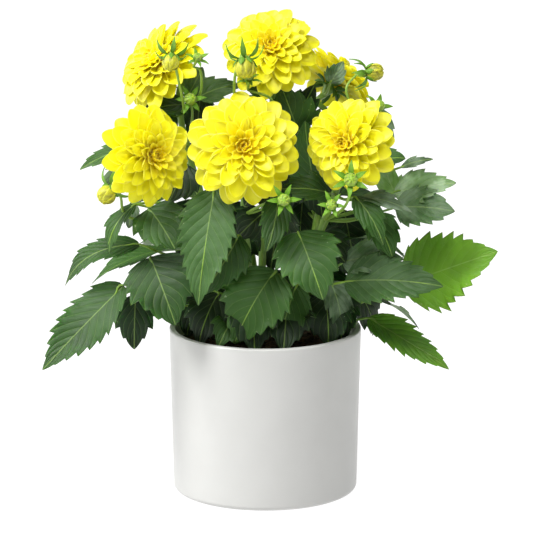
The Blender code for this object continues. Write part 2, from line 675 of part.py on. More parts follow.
def make_pot():
    """The pot: a tapered cylinder with a rounded foot edge, a rounded lip and a flat underside."""
    inner = wall_radius(FLOOR) - WALL
    lip = (RIM_RADIUS - LIP_ROUNDING, POT_HEIGHT - LIP_ROUNDING)
    inner_lip = (RIM_RADIUS - WALL + LIP_ROUNDING, POT_HEIGHT - LIP_ROUNDING)
    profile = [
        (0, 0),
        *arc((BASE_RADIUS - FOOT_ROUNDING, FOOT_ROUNDING), FOOT_ROUNDING, -90, 0),
        *arc(lip, LIP_ROUNDING, 0, 90),
        *arc(inner_lip, LIP_ROUNDING, 90, 180),
        (inner, FLOOR),
        (0, FLOOR),
    ]
    pot = add_object("pot", *lathe(profile, POT_SEGMENTS), "white_glazed_stoneware")
    pot.data.shade_smooth()
    pot.data.set_sharp_from_angle(angle=math.radians(SHARP_FROM))


def make_soil():
    """The soil: a plug with a lumpy top, slightly domed, with a plain hole for each stem."""
    draw = random.Random(SEED)
    edge = wall_radius(SOIL_TOP) - WALL - SEAT_GAP
    low = wall_radius(FLOOR) - WALL - SEAT_GAP
    bottom = FLOOR + SEAT_GAP
    profile = [(0, bottom), (low, bottom), (edge, SOIL_TOP)]
    profile += [(edge * share, SOIL_TOP + SOIL_SWELL * rise) for share, rise in SOIL_DOME]
    profile += [(0, SOIL_TOP + SOIL_SWELL)]
    points, faces = lathe(profile, SOIL_SEGMENTS)
    first_lump = 1 + 2 * SOIL_SEGMENTS
    for k in range(first_lump, len(points)):
        points[k, 2] += draw.uniform(-SOIL_LUMPS, SOIL_LUMPS)
    soil = add_object("soil", points, faces, "potting_soil")
    holes = bpy.data.collections.new("stem_holes")
    bpy.context.scene.collection.children.link(holes)
    for name, stem in STEMS.items():
        x, y, _ = stem["knots"][0]
        radius = stem["radius"] + HOLE_PLAY
        column = [(0, 0), (radius, 0), (radius, HOLE_HEIGHT), (0, HOLE_HEIGHT)]
        points, faces = lathe(column, HOLE_SIDES)
        points += (x, y, SOIL_TOP - ROOT_DEPTH - SEAT_GAP)
        cutter = add_object("hole_" + name, points, faces, "potting_soil")
        bpy.context.scene.collection.objects.unlink(cutter)
        holes.objects.link(cutter)
        cutter.hide_render = True
        cutter.display_type = "WIRE"
    cut = soil.modifiers.new("stem_holes", "BOOLEAN")
    cut.operation = "DIFFERENCE"
    cut.operand_type = "COLLECTION"
    cut.collection = holes
    cut.solver = "EXACT"


def back_leaves():
    """Leaflets of the tiers round the back: name, base, tip, looks, width, arch."""
    draw = random.Random(SEED + 1)
    rows = []
    for tier, (height, count, near, far, drop, first, last, width) in enumerate(BACK_TIERS):
        for k in range(count):
            azimuth = first + (last - first) * k / (count - 1)
            out = direction(azimuth, 0)
            base = out * near + np.array([0, 0, height])
            sway = direction(azimuth + draw.uniform(-BACK_SWAY, BACK_SWAY), 0)
            tip = sway * far * draw.uniform(*BACK_LENGTHS) + np.array([0, 0, height - drop])
            rows.append((f"back_{tier}_{k}", base, tip, (azimuth, BACK_RISE), width, BACK_ARCH))
    return rows


def nearest_stem(paths, base):
    """Name of the stem that passes nearest to a point, a little under its height."""
    def distance(name):
        path = paths[name]
        at_level = path[np.abs(path[:, 2] - base[2] + NEAR_BELOW).argmin()]
        return np.linalg.norm(at_level[:2] - base[:2])
    return min(sorted(paths), key=distance)


def plant_pieces():
    """Every piece of every green node, bloom and bud, before they are fused, by node."""
    nodes, paths = {}, {}
    for name, bloom in BLOOMS.items():
        paths[name], stem = stem_piece(name)
        origin, turned = bloom_frame(bloom)
        size = bloom["radius"]
        calyx = star_piece(CALYX["foot"] * size, CALYX["reach"] * size, CALYX["rise"])
        under = origin + turned[:, 2] * (RECEPTACLE[1] * size - SEAT_GAP - CALYX["under"])
        nodes["stem_" + name] = [("stem", stem), ("calyx", place(calyx, under, turned))]
        nodes["bloom_" + name] = [("bloom", place(bloom_piece(bloom), origin, turned))]
    for label, (stem, *leaf) in LEAVES.items():
        nodes["stem_" + stem].append((label, leaf_piece(paths[stem], *leaf)))
    for label, base, *rest in back_leaves():
        stem = nearest_stem(paths, base)
        nodes["stem_" + stem].append((label, leaf_piece(paths[stem], base, *rest, BACK_TOOTH_PITCH)))
    for young, group in ((False, YELLOW_BUDS), (True, GREEN_BUDS)):
        for label, (stem, *bud) in group.items():
            stalk, star, body = bud_pieces(paths[stem], *bud, young)
            green = nodes["stem_" + stem]
            green += [(label + "_stalk", stalk), (label + "_bracts", star)]
            if young:
                green.append((label, body))
            else:
                nodes[label] = [("ball", body)]
    return nodes


def make_materials():
    """The plain finish of each kind of surface."""
    made = {}
    for name, (colour, roughness) in MATERIALS.items():
        material = bpy.data.materials.new(name)
        material.use_nodes = True
        shader = material.node_tree.nodes["Principled BSDF"]
        shader.inputs["Base Color"].default_value = (*colour, 1)
        shader.inputs["Roughness"].default_value = roughness
        made[name] = material
    return made


def material_of(node):
    """Material name of a plant node."""
    if node.startswith("stem_"):
        return "dahlia_leaf"
    return "dahlia_petal" if node.startswith("bloom_") else "bud_petal"


for leftover in list(bpy.data.objects):
    bpy.data.objects.remove(leftover)
MATERIAL = make_materials()


def main():
    make_pot()
    make_soil()
    for node, pieces in plant_pieces().items():
        fuse(node, [mesh for _, mesh in pieces], material_of(node))


main()
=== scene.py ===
# %% [markdown]
# A potted dahlia, step by step. A dwarf dahlia is a short bushy plant: a few hollow stems, toothed
# leaves in pairs, and at the end of each stem a double bloom, which is not one flower but a head of
# many petals in layers. Here it grows in a plain white cylinder pot. Each cell makes one part of it as
# surfaces worked out with numpy, and says why that way was chosen. Layout values are in millimetres and
# degrees, and an azimuth of -90 points at the viewer.

# %% The fixed frame
import math
import random

import bpy
import numpy as np
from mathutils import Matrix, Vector


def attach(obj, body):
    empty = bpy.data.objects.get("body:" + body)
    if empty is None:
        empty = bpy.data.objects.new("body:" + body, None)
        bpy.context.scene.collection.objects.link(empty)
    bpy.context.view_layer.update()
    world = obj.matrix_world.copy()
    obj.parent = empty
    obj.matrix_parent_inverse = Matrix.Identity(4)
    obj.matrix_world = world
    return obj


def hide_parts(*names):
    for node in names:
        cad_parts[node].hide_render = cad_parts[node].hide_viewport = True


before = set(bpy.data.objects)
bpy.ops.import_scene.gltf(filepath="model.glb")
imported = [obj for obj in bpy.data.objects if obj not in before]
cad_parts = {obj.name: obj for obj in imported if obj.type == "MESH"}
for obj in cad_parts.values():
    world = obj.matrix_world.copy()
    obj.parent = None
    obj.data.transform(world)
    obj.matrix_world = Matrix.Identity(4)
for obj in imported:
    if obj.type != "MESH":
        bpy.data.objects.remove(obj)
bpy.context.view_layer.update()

MM = 0.001
SEED = 7
print("nodes:", len(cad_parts))

# %% [markdown]
# The camera. The photograph was taken from far away with a long lens, so the pot's sides hardly
# converge. Fitting the ellipses of the rim and of the foot gives an eye 13 degrees above the horizon, 3
# m away, and a lens of 260 mm on a sensor 36 mm wide. It looks at a point a little under the middle of
# the plant.

# %% Camera
LOOK_AT = (1.0, 0.0, 177.8)
EYE_HEIGHT_DEG = 13.1
EYE_DISTANCE = 3000.0
LENS = 259.87


def place_camera():
    """A camera on a circle round the point it looks at, turned so that its -Z axis passes through it."""
    lens = bpy.data.cameras.new("camera")
    lens.lens = LENS
    lens.sensor_width = 36.0
    lens.clip_end = 50.0
    camera = bpy.data.objects.new("camera", lens)
    bpy.context.scene.collection.objects.link(camera)
    tilt = math.radians(EYE_HEIGHT_DEG)
    back = Vector((0, -math.cos(tilt), math.sin(tilt)))
    camera.location = (Vector(LOOK_AT) + back * EYE_DISTANCE) * MM
    camera.rotation_euler = (-back).to_track_quat("-Z", "Y").to_euler()
    bpy.context.scene.camera = camera


place_camera()

# %% [markdown]
# Colours are written as the eye reads them, as sRGB hex values, and turned to the linear values that
# light adds up in. One small function adds a shader node with its settings and its links, so that each
# material below reads as a list of what feeds what.

# %% Colours and shader nodes
def linear(code):
    """Linear RGBA of an sRGB hex colour: c / 12.92 below 0.04045, else ((c + 0.055) / 1.055) ** 2.4."""
    parts = [int(code[k:k + 2], 16) / 255 for k in (1, 3, 5)]
    return tuple(c / 12.92 if c <= 0.04045 else ((c + 0.055) / 1.055) ** 2.4 for c in parts) + (1.0,)


def add(tree, kind, inputs, **settings):
    """A shader node: its settings, and for each input socket a value or the output that feeds it."""
    made = tree.nodes.new("ShaderNode" + kind)
    for name, value in settings.items():
        setattr(made, name, value)
    for socket, value in inputs.items():
        if isinstance(value, bpy.types.NodeSocket):
            tree.links.new(value, made.inputs[socket])
        else:
            made.inputs[socket].default_value = value
    return made


def new_material(name):
    """An empty node material: its tree and its shader, already linked to the output."""
    material = bpy.data.materials.new(name)
    material.use_nodes = True
    return material, material.node_tree, material.node_tree.nodes["Principled BSDF"]


def math_of(tree, operation, a, b=0.0):
    """The output of a Math node on two values."""
    return add(tree, "Math", {0: a, 1: b}, operation=operation).outputs[0]


def blend_of(tree, factor, a, b):
    """The output of a colour mix, a at factor 0 and b at factor 1."""
    return add(tree, "Mix", {0: factor, 6: a, 7: b}, data_type="RGBA").outputs[2]


def scale_of(size):
    """Scale of a pattern on Object coordinates, in metres, for features of a size in mm: 1000 / size."""
    return 1 / (size * MM)


def band_of(tree, value, low, high):
    """The output of a smooth ramp, 0 at low and 1 at high."""
    inputs = {0: value, 1: low, 2: high}
    return add(tree, "MapRange", inputs, interpolation_type="SMOOTHSTEP").outputs[0]


def finish(tree, shader, colour, height, strength, deep, others):
    """Link a colour and a relief some mm deep to a shader, and give its other sockets a value or a link."""
    bump = add(tree, "Bump", {"Strength": strength, "Distance": deep * MM, "Height": height}).outputs[0]
    for socket, value in {"Base Color": colour, "Normal": bump, **others}.items():
        if isinstance(value, bpy.types.NodeSocket):
            tree.links.new(value, shader.inputs[socket])
        else:
            shader.inputs[socket].default_value = value


# %% [markdown]
# The studio. The photograph is high-key: a white ground, soft light from all round, and a broad key
# light high on the left, so that the pot shades off towards its right side. A low light beside it keeps
# the pot's left edge bright, a fill stands in front, and one behind draws the edges. All are large,
# which gives the shade between the leaves soft edges. The ground is grey but glows, so that it comes
# out as an even white.

# %% Floor and light
FLOOR_GREY, FLOOR_GLOW, SKY_GLOW = "#7A7A7A", 0.92, 0.10
FLOOR_HALF, FLOOR_DROP = 6.0, 0.0002
LIGHTS_FACE = Vector((0, 0, 0.2))
LIGHTS = (
    # name, place, size, power: in metres and watts
    ("key", (-1.8, -1.05, 2.75), 1.2, 140),
    ("left_side", (-2.3, 0.75, 1.2), 1.4, 35),
    ("front_fill", (0.1, -1.9, 2.9), 1.4, 64),
    ("back_rim", (0.5, 2.0, 2.4), 1.6, 12),
)


def area_light(name, at, size, power):
    """A square soft light at a point in metres, turned to face the plant."""
    light = bpy.data.lights.new(name, "AREA")
    light.shape = "SQUARE"
    light.size = size
    light.energy = power
    lamp = bpy.data.objects.new(name, light)
    bpy.context.scene.collection.objects.link(lamp)
    lamp.location = at
    lamp.rotation_euler = (LIGHTS_FACE - Vector(at)).to_track_quat("-Z", "Y").to_euler()


def lay_floor():
    """A wide flat sheet under the pot, a hair below it, that glows a little as a lit ground does."""
    mesh = bpy.data.meshes.new("floor")
    corners = [(x * FLOOR_HALF, y * FLOOR_HALF, -FLOOR_DROP) for x, y in ((-1, -1), (1, -1), (1, 1), (-1, 1))]
    mesh.from_pydata(corners, [], [(0, 1, 2, 3)])
    material, tree, shader = new_material("white_studio_ground")
    shader.inputs["Base Color"].default_value = linear(FLOOR_GREY)
    shader.inputs["Roughness"].default_value = 0.9
    shader.inputs["Specular IOR Level"].default_value = 0.1
    shader.inputs["Emission Color"].default_value = (1, 1, 1, 1)
    shader.inputs["Emission Strength"].default_value = FLOOR_GLOW
    mesh.materials.append(material)
    floor = bpy.data.objects.new("floor", mesh)
    bpy.context.scene.collection.objects.link(floor)


def light_studio():
    """The lights of the table, and a pale sky."""
    for light in LIGHTS:
        area_light(*light)
    world = bpy.data.worlds.new("studio")
    world.use_nodes = True
    sky = world.node_tree.nodes["Background"]
    sky.inputs["Color"].default_value = (1, 1, 1, 1)
    sky.inputs["Strength"].default_value = SKY_GLOW
    bpy.context.scene.world = world
    bpy.context.scene.view_settings.view_transform = "Standard"


lay_floor()
light_studio()

# %% [markdown]
# One way of making a mesh serves the whole plant. Every stalk, leaf and petal is a closed skin: rings
# of points, one after another along its length, each ring going once round it. On a stalk the ring is a
# circle, and on a leaf or petal it is drawn flat, over the upper face and back along the underside. The
# ends close in a point. All the pieces of one kind are worked out together as one array of shape
# (pieces, rings, round, 3).

# %% Rings into a mesh
def unit(vectors):
    """Vectors at length one, along the last axis."""
    vectors = np.asarray(vectors, float)
    return vectors / np.linalg.norm(vectors, axis=-1, keepdims=True)


def direction(azimuth, elevation):
    """Unit vectors at azimuths and elevations in degrees."""
    a, e = np.radians(azimuth), np.radians(elevation)
    return np.stack([np.cos(a) * np.cos(e), np.sin(a) * np.cos(e), np.sin(e) + 0 * a], axis=-1)


def ring_faces(pieces, rings, around):
    """Corner numbers of the quads between rings, and of the triangles that close both ends in a point."""
    i, j = np.meshgrid(np.arange(rings - 1), np.arange(around), indexing="ij")
    after = (j + 1) % around
    low, high = i * around, (i + 1) * around
    quads = np.stack([low + j, low + after, high + after, high + j], -1)
    j = np.arange(around)
    after = (j + 1) % around
    start, end = rings * around, rings * around + 1
    last = (rings - 1) * around
    first_fan = np.stack([0 * j + start, after, j], -1)
    last_fan = np.stack([last + j, last + after, 0 * j + end], -1)
    step = (np.arange(pieces) * (rings * around + 2))[:, None, None]
    tris = np.concatenate([first_fan, last_fan])[None] + step
    return (quads.reshape(1, -1, 4) + step).reshape(-1, 4), tris.reshape(-1, 3)


class Skin:
    """Points, faces, UVs and attributes of one object, gathered group by group."""

    def __init__(self):
        self.points, self.quads, self.tris, self.uv, self.marks, self.count = [], [], [], [], {}, 0

    def add(self, rings, start, end, uv, **marks):
        """Rings (k, n, m, 3) in mm, end points (k, 3), UVs (n, m, 2), and marks of shape (k, n, m)."""
        k, n, m = rings.shape[:3]
        body = np.concatenate([rings.reshape(k, n * m, 3), start[:, None], end[:, None]], axis=1)
        quads, tris = ring_faces(k, n, m)
        self.points.append(body.reshape(-1, 3))
        self.quads.append(quads + self.count)
        self.tris.append(tris + self.count)
        ends = np.stack([uv[0].mean(0), uv[-1].mean(0)])
        flat = np.concatenate([uv.reshape(-1, 2), ends])
        self.uv.append(np.tile(flat, (k, 1)))
        for name, value in marks.items():
            wide = np.broadcast_to(value, (k, n, m))
            closing = np.stack([wide[:, 0].mean(1), wide[:, -1].mean(1)], axis=1)
            whole = np.concatenate([wide.reshape(k, -1), closing], axis=1)
            self.marks.setdefault(name, []).append(whole.reshape(-1))
        self.count += k * (n * m + 2)

    def build(self, name, material, slot, *nodes):
        """The object, smooth shaded, riding on the root and standing for its nodes."""
        points = np.concatenate(self.points) * MM
        quads, tris = np.concatenate(self.quads), np.concatenate(self.tris)
        corners = np.concatenate([quads.reshape(-1), tris.reshape(-1)])
        mesh = bpy.data.meshes.new(name)
        mesh.vertices.add(len(points))
        mesh.vertices.foreach_set("co", points.reshape(-1))
        mesh.loops.add(len(corners))
        mesh.loops.foreach_set("vertex_index", corners)
        starts = np.concatenate([4 * np.arange(len(quads)), 4 * len(quads) + 3 * np.arange(len(tris))])
        mesh.polygons.add(len(starts))
        mesh.polygons.foreach_set("loop_start", starts)
        mesh.update(calc_edges=True)
        layer = mesh.uv_layers.new(name="along_across")
        layer.data.foreach_set("uv", np.concatenate(self.uv)[corners].reshape(-1))
        for mark, values in self.marks.items():
            attribute = mesh.attributes.new(mark, "FLOAT", "POINT")
            attribute.data.foreach_set("value", np.concatenate(values).astype(np.float32))
        mesh.shade_smooth()
        mesh.materials.append(material)
        made = bpy.data.objects.new(name, mesh)
        bpy.context.scene.collection.objects.link(made)
        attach(made, "root")
        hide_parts(*nodes)
        print(f"{name}: {2 * len(quads) + len(tris)} triangles")


# %% [markdown]
# Stalks. A stalk is a circle carried along a path. The ring's own axes must not spin on the way, so
# each one is the last one leaned over as little as possible. A path is a smooth curve through all its
# given points.

# %% Paths and stalks
def smooth_path(knots, per_span):
    """Points of a curve that passes all knots: for each span a cubic in t between its two inner knots."""
    k = np.asarray(knots, float)
    k = np.vstack([2 * k[0] - k[1], k, 2 * k[-1] - k[-2]])
    t = (np.arange(per_span) / per_span)[None, :, None]
    p0, p1, p2, p3 = (k[s:len(k) - 3 + s, None] for s in range(4))
    curve = 0.5 * (2 * p1 + (p2 - p0) * t + (2 * p0 - 5 * p1 + 4 * p2 - p3) * t**2
                   + (3 * p1 - p0 - 3 * p2 + p3) * t**3)
    return np.vstack([curve.reshape(-1, 3), k[-2]])


def stalk_rings(path, radii, around, ribs=0.0):
    """Rings (1, n, m, 3): centre + radius * (cos a * across + sin a * other), with four faint ribs."""
    path = np.asarray(path, float)
    ahead = unit(np.gradient(path, axis=0))
    across = np.empty_like(ahead)
    across[0] = unit(np.cross(ahead[0], (0.3, 0.9, 0.2)))
    for k in range(1, len(path)):
        across[k] = unit(across[k - 1] - ahead[k] * (across[k - 1] @ ahead[k]))
    other = np.cross(ahead, across)
    turn = 2 * np.pi * np.arange(around) / around
    radius = np.asarray(radii)[:, None] * (1 + ribs * np.cos(4 * turn))[None]
    rings = path[:, None] + radius[..., None] * (
        np.cos(turn)[None, :, None] * across[:, None] + np.sin(turn)[None, :, None] * other[:, None])
    return rings[None]


def add_stalk(skin, path, radii, around, ribs=0.0, **marks):
    """A stalk into a skin, with its UV along its length in cm and round it."""
    rings = stalk_rings(path, radii, around, ribs)
    length = np.concatenate([[0], np.cumsum(np.linalg.norm(np.diff(path, axis=0), axis=1))]) / 10
    uv = np.stack(np.broadcast_arrays(length[:, None], np.arange(around)[None] / around), -1)
    skin.add(rings, np.asarray(path[:1], float), np.asarray(path[-1:], float), uv, **marks)


# %% [markdown]
# Leaves, petals and bracts are all one kind of surface: a rib that runs from foot to tip and leaves the
# straight line by an arch, an outline that says how wide the blade is along it, and a lift of the
# sides. What differs is the outline: ovate and toothed for a leaf, spoon-shaped for a petal, a lens for
# a bract.

# %% Blades
def across_loop(steps):
    """Places round a flat ring: v from -1 to 1 on the upper face and back below, and the face, 1, 0 or -1."""
    v = np.sin(np.linspace(-np.pi / 2, np.pi / 2, steps))
    inner = np.ones(steps - 2)
    return np.concatenate([v, v[-2:0:-1]]), np.concatenate([[0], inner, [0], -inner])


def blades(foot, along, up, length, width, outline, u, v, face, arch=0.0, curl=0.0, cup=0.0, cup_power=2.0,
           twist=0.0, thickness=0.35, edge=None, lift=None):
    """Rings (k, n, m, 3) of k blades, and their tips (k, 3).

    rib(u) = foot + along * length * u + up * (arch * 4u(1 - u) + curl * u^3). The ring at u is
    rib + side * half * v + normal * (cup * half * |v|^power + face * thickness / 2), where half is
    width / 2 * outline(u), and side and normal are turned about the rib by twist * u. edge widens a ring's
    points by a factor and pushes them forward, and lift adds to them along the normal.
    """
    length, width, arch, curl, cup, twist = (
        np.broadcast_to(np.asarray(x, float), (len(foot),))[:, None]
        for x in (length, width, arch, curl, cup, twist))
    rise = arch * 4 * u * (1 - u) + curl * u**3
    slope = arch * 4 * (1 - 2 * u) + curl * 3 * u**2
    rib = foot[:, None] + along[:, None] * (length * u)[..., None] + up[:, None] * rise[..., None]
    ahead = unit(along[:, None] * (length + 0 * slope)[..., None] + up[:, None] * slope[..., None])
    side = np.broadcast_to(np.cross(along, up)[:, None], ahead.shape)
    normal = np.cross(side, ahead)
    turn = (np.radians(twist) * u)[..., None]
    side, normal = side * np.cos(turn) + normal * np.sin(turn), normal * np.cos(turn) - side * np.sin(turn)
    half = (width / 2 * outline(u))[..., None]
    wide, forward = (1.0, 0.0) if edge is None else edge
    bend = cup[..., None] * half * np.abs(v) ** cup_power
    thin = thickness / 2 * face * np.sqrt(np.clip(1.04 - v**2, 0, 1))
    high = bend + thin + (0 if lift is None else lift)
    rings = (rib[:, :, None] + side[:, :, None] * (half * v * wide)[..., None]
             + normal[:, :, None] * high[..., None])
    rings = rings + ahead[:, :, None] * (forward * np.ones_like(half * v))[..., None]
    tips = foot + along * length + up * curl
    return rings, tips


def blade_uv(u, v):
    """UV of a ring's points: along the blade, and across it from 0 to 1 with the rib at 0.5."""
    return np.stack(np.broadcast_arrays(u[:, None], (v[None] + 1) / 2), -1)


def leaf_outline(u):
    """Ovate: rounded near the foot, widest at a third of the length, drawn out to a point."""
    return np.sin(np.pi * u**0.65) ** 0.9


def petal_outline(u):
    """Spoon-shaped: widest past the middle, with a rounded tip."""
    return np.sin(np.pi * u**1.5) ** 0.56


def bract_outline(u):
    """A narrow lens."""
    return np.sin(np.pi * u**0.8)


def sideways(along, looks):
    """The part of the way a blade looks that is square to its length, at length one."""
    looks = np.asarray(looks, float)
    return unit(looks - along * np.sum(along * looks, axis=-1, keepdims=True))


# %% [markdown]
# Glazed stoneware. A satin white glaze is melted glass on fired clay, smooth and slightly cool, with a
# soft reflection. What keeps it from looking like plastic is a very slow unevenness of the surface,
# about 22 mm across, which bends that reflection, a roughness that varies with it, and an orange peel
# of about 1 mm. Its base colour is light grey, because the studio light lifts it to the white that the
# photograph shows.

# %% Glaze
GLAZE_WHITE, GLAZE_SHADE = "#C2C2BF", "#BBBBB8"


def satin_glaze():
    """White, between two near tones of a slow noise, under a thin clear coat."""
    material, tree, shader = new_material("satin_white_glazed_stoneware")
    place = add(tree, "TexCoord", {}).outputs["Object"]
    slow = add(tree, "TexNoise", {"Vector": place, "Scale": scale_of(22.0), "Detail": 3.0}).outputs[0]
    fine = add(tree, "TexNoise", {"Vector": place, "Scale": scale_of(1.1), "Detail": 2.0}).outputs[0]
    colour = blend_of(tree, slow, linear(GLAZE_WHITE), linear(GLAZE_SHADE))
    rough = add(tree, "MapRange", {0: slow, 3: 0.30, 4: 0.40}).outputs[0]
    height = math_of(tree, "ADD", slow, math_of(tree, "MULTIPLY", fine, 0.05))
    finish(tree, shader, colour, height, 0.25, 0.6,
           {"Roughness": rough, "IOR": 1.5, "Coat Weight": 0.15, "Coat Roughness": 0.25})
    return material


GLAZE = satin_glaze()

# %% [markdown]
# Potting soil is dark peat with paler fibres and grains in it, so it looks dull, rough and nearly black
# in the shade. A noise of about 11 mm gives the damp and dry patches, and cells of 2 mm give the
# grains.

# %% Soil
def damp_peat():
    """Dark brown, lighter where a noise is high, with grains by the distance to a cell's middle."""
    material, tree, shader = new_material("damp_potting_soil")
    place = add(tree, "TexCoord", {}).outputs["Object"]
    patch = add(tree, "TexNoise", {"Vector": place, "Scale": scale_of(11.0), "Detail": 5.0}).outputs[0]
    grain = add(tree, "TexVoronoi", {"Vector": place, "Scale": scale_of(2.1)}).outputs[0]
    colour = blend_of(tree, band_of(tree, patch, 0.35, 0.7), linear("#241810"), linear("#4A3524"))
    colour = blend_of(tree, band_of(tree, grain, 0.55, 0.9), colour, linear("#17100B"))
    height = math_of(tree, "SUBTRACT", patch, math_of(tree, "MULTIPLY", grain, 0.6))
    finish(tree, shader, colour, height, 0.9, 1.5, {"Roughness": 0.92, "Specular IOR Level": 0.25})
    return material


PEAT = damp_peat()

# %% [markdown]
# A dahlia's leaf has a thin waxy skin. It is darkest between its veins, paler on the midrib and the
# side veins, and greyer underneath. Its green runs from dark to bright by a tone, which is partly the
# leaf's own colour and partly painted light and shade: leaves deep in the bush are painted dark for the
# shade there, and some are painted bright where light falls on them or shines through. Some leaves also
# get a painted sheen, their colour blended in patches towards pale grey-green, which stands for light
# reflected off the waxy skin. The side veins are drawn from a number that each leaf's surface carries.
# It rises by one from one vein to the next, so its fraction says how far a point is from a vein, and it
# drives the relief too. The blotches are about 14 mm across. The netting of the smallest veins is 0.5 mm
# on a real leaf, too fine for this picture, and is drawn at 1.6 mm.

# %% Leaf
LIGHT_REACH = 2.0 * MM


def green_leaf():
    """Dark to bright green by the leaf's tone, partly its own and partly painted light and shade, with veins
    by the fraction of the vein number and a painted grey sheen.
    """
    material, tree, shader = new_material("dahlia_leaf_with_veins")
    place = add(tree, "TexCoord", {}).outputs["Object"]
    tone, vein, from_rib, under, wax = (
        add(tree, "Attribute", {}, attribute_name=name).outputs["Fac"]
        for name in ("tone", "vein", "from_rib", "under", "wax"))
    patch = add(tree, "TexNoise", {"Vector": place, "Scale": scale_of(14.0), "Detail": 3.0}).outputs[0]
    cells = {"Vector": place, "Scale": scale_of(1.6)}
    net = add(tree, "TexVoronoi", cells, feature="DISTANCE_TO_EDGE").outputs[0]
    uneven = math_of(tree, "MULTIPLY", math_of(tree, "SUBTRACT", patch, 0.5), 0.35)
    mixed = math_of(tree, "ADD", tone, uneven)
    # The near-black low end of this ramp is painted shade for leaves deep in the bush; the yellow-green top
    # is painted light shining through a leaf.
    colour = blend_of(tree, band_of(tree, mixed, 0.0, 0.55), linear("#12290A"), linear("#33591B"))
    colour = blend_of(tree, band_of(tree, mixed, 0.55, 1.0), colour, linear("#6A9A20"))
    part = math_of(tree, "FRACT", vein)
    off = math_of(tree, "ABSOLUTE", math_of(tree, "SUBTRACT", part, 0.5))
    near = math_of(tree, "MULTIPLY", off, 2.0)
    line = math_of(tree, "MULTIPLY", band_of(tree, near, 0.88, 0.99), 0.13)
    midrib = math_of(tree, "SUBTRACT", 1.0, band_of(tree, from_rib, 0.2, 0.7))
    pale = math_of(tree, "MAXIMUM", line, math_of(tree, "MULTIPLY", midrib, 0.34))
    colour = blend_of(tree, pale, colour, linear("#9DBB62"))
    colour = blend_of(tree, math_of(tree, "MULTIPLY", under, 0.55), colour, linear("#8DA878"))
    # Painted sheen: the colour is blended in patches towards pale grey-green, as much as each leaf's sheen
    # mark says, a painted reflection of light on the waxy skin.
    sheen = math_of(tree, "ADD", math_of(tree, "MULTIPLY", band_of(tree, patch, 0.38, 0.62), 0.75), 0.25)
    colour = blend_of(tree, math_of(tree, "MULTIPLY", wax, sheen), colour, linear("#B4C8AE"))
    rough = add(tree, "MapRange", {0: patch, 3: 0.44, 4: 0.62}).outputs[0]
    quilt = math_of(tree, "MULTIPLY", math_of(tree, "POWER", near, 2.0), -1.0)
    height = math_of(tree, "ADD", quilt, math_of(tree, "MULTIPLY", band_of(tree, net, 0.0, 0.12), 0.18))
    finish(tree, shader, colour, height, 0.7, 0.6, {
        "Roughness": rough, "Specular IOR Level": 0.36, "Subsurface Weight": 0.12,
        "Subsurface Radius": (0.4, 0.9, 0.1), "Subsurface Scale": LIGHT_REACH})
    return material


LEAF = green_leaf()

# %% [markdown]
# Stalks are smooth and full of juice, yellower than the leaves and lightly ribbed, so they look moist,
# with pale streaks along them. The streaks come from a noise on the stalk's own UV, whose first number
# is its length in centimetres and whose second goes once round it. They are 8 mm long, and 0.7 mm wide
# on a girth of 9.5 mm.

# %% Stalk
STREAK_LONG, STREAK_WIDE, STALK_GIRTH = 8.0, 0.7, 9.5


def green_stalk():
    """Yellow-green by the stalk's tone, with lengthwise streaks from a noise stretched along the UV."""
    material, tree, shader = new_material("juicy_green_stalk")
    map_of = add(tree, "UVMap", {}, uv_map="along_across").outputs[0]
    stretch = (10 / STREAK_LONG, STALK_GIRTH / STREAK_WIDE, 1.0)
    long = add(tree, "Mapping", {"Vector": map_of, "Scale": stretch}).outputs[0]
    streak = add(tree, "TexNoise", {"Vector": long, "Scale": 1.0, "Detail": 3.0}).outputs[0]
    tone = add(tree, "Attribute", {}, attribute_name="tone").outputs["Fac"]
    colour = blend_of(tree, tone, linear("#426E28"), linear("#A4C845"))
    pale = math_of(tree, "MULTIPLY", band_of(tree, streak, 0.45, 0.7), 0.3)
    colour = blend_of(tree, pale, colour, linear("#B6CC6C"))
    finish(tree, shader, colour, streak, 0.35, 0.3, {
        "Roughness": 0.42, "Subsurface Weight": 0.15, "Subsurface Radius": (0.5, 0.9, 0.15),
        "Subsurface Scale": LIGHT_REACH})
    return material


STALK = green_stalk()

# %% [markdown]
# A petal is thin, soft and matt: light enters it, travels a little and comes out again, which is what
# subsurface scattering does, so the whole bloom seems to glow. Its colour deepens to gold at its foot
# and in the heart of the bloom, partly its own deeper gold and partly painted shade in the cup of each
# petal and in the recessed heart. Its paler rim is a painted highlight along the edge, and fine veins
# run along it. The veins are a noise on the petal's own UV, which runs from 0 to 1 along a petal of
# 30 mm and across its 14 mm. Real ones are 0.3 mm apart, too fine for this picture, and are drawn at
# 0.55 mm.

# %% Petal
PETAL_LONG, PETAL_WIDE = 30.0, 14.0
VEIN_LONG, VEIN_WIDE = 15.0, 0.55


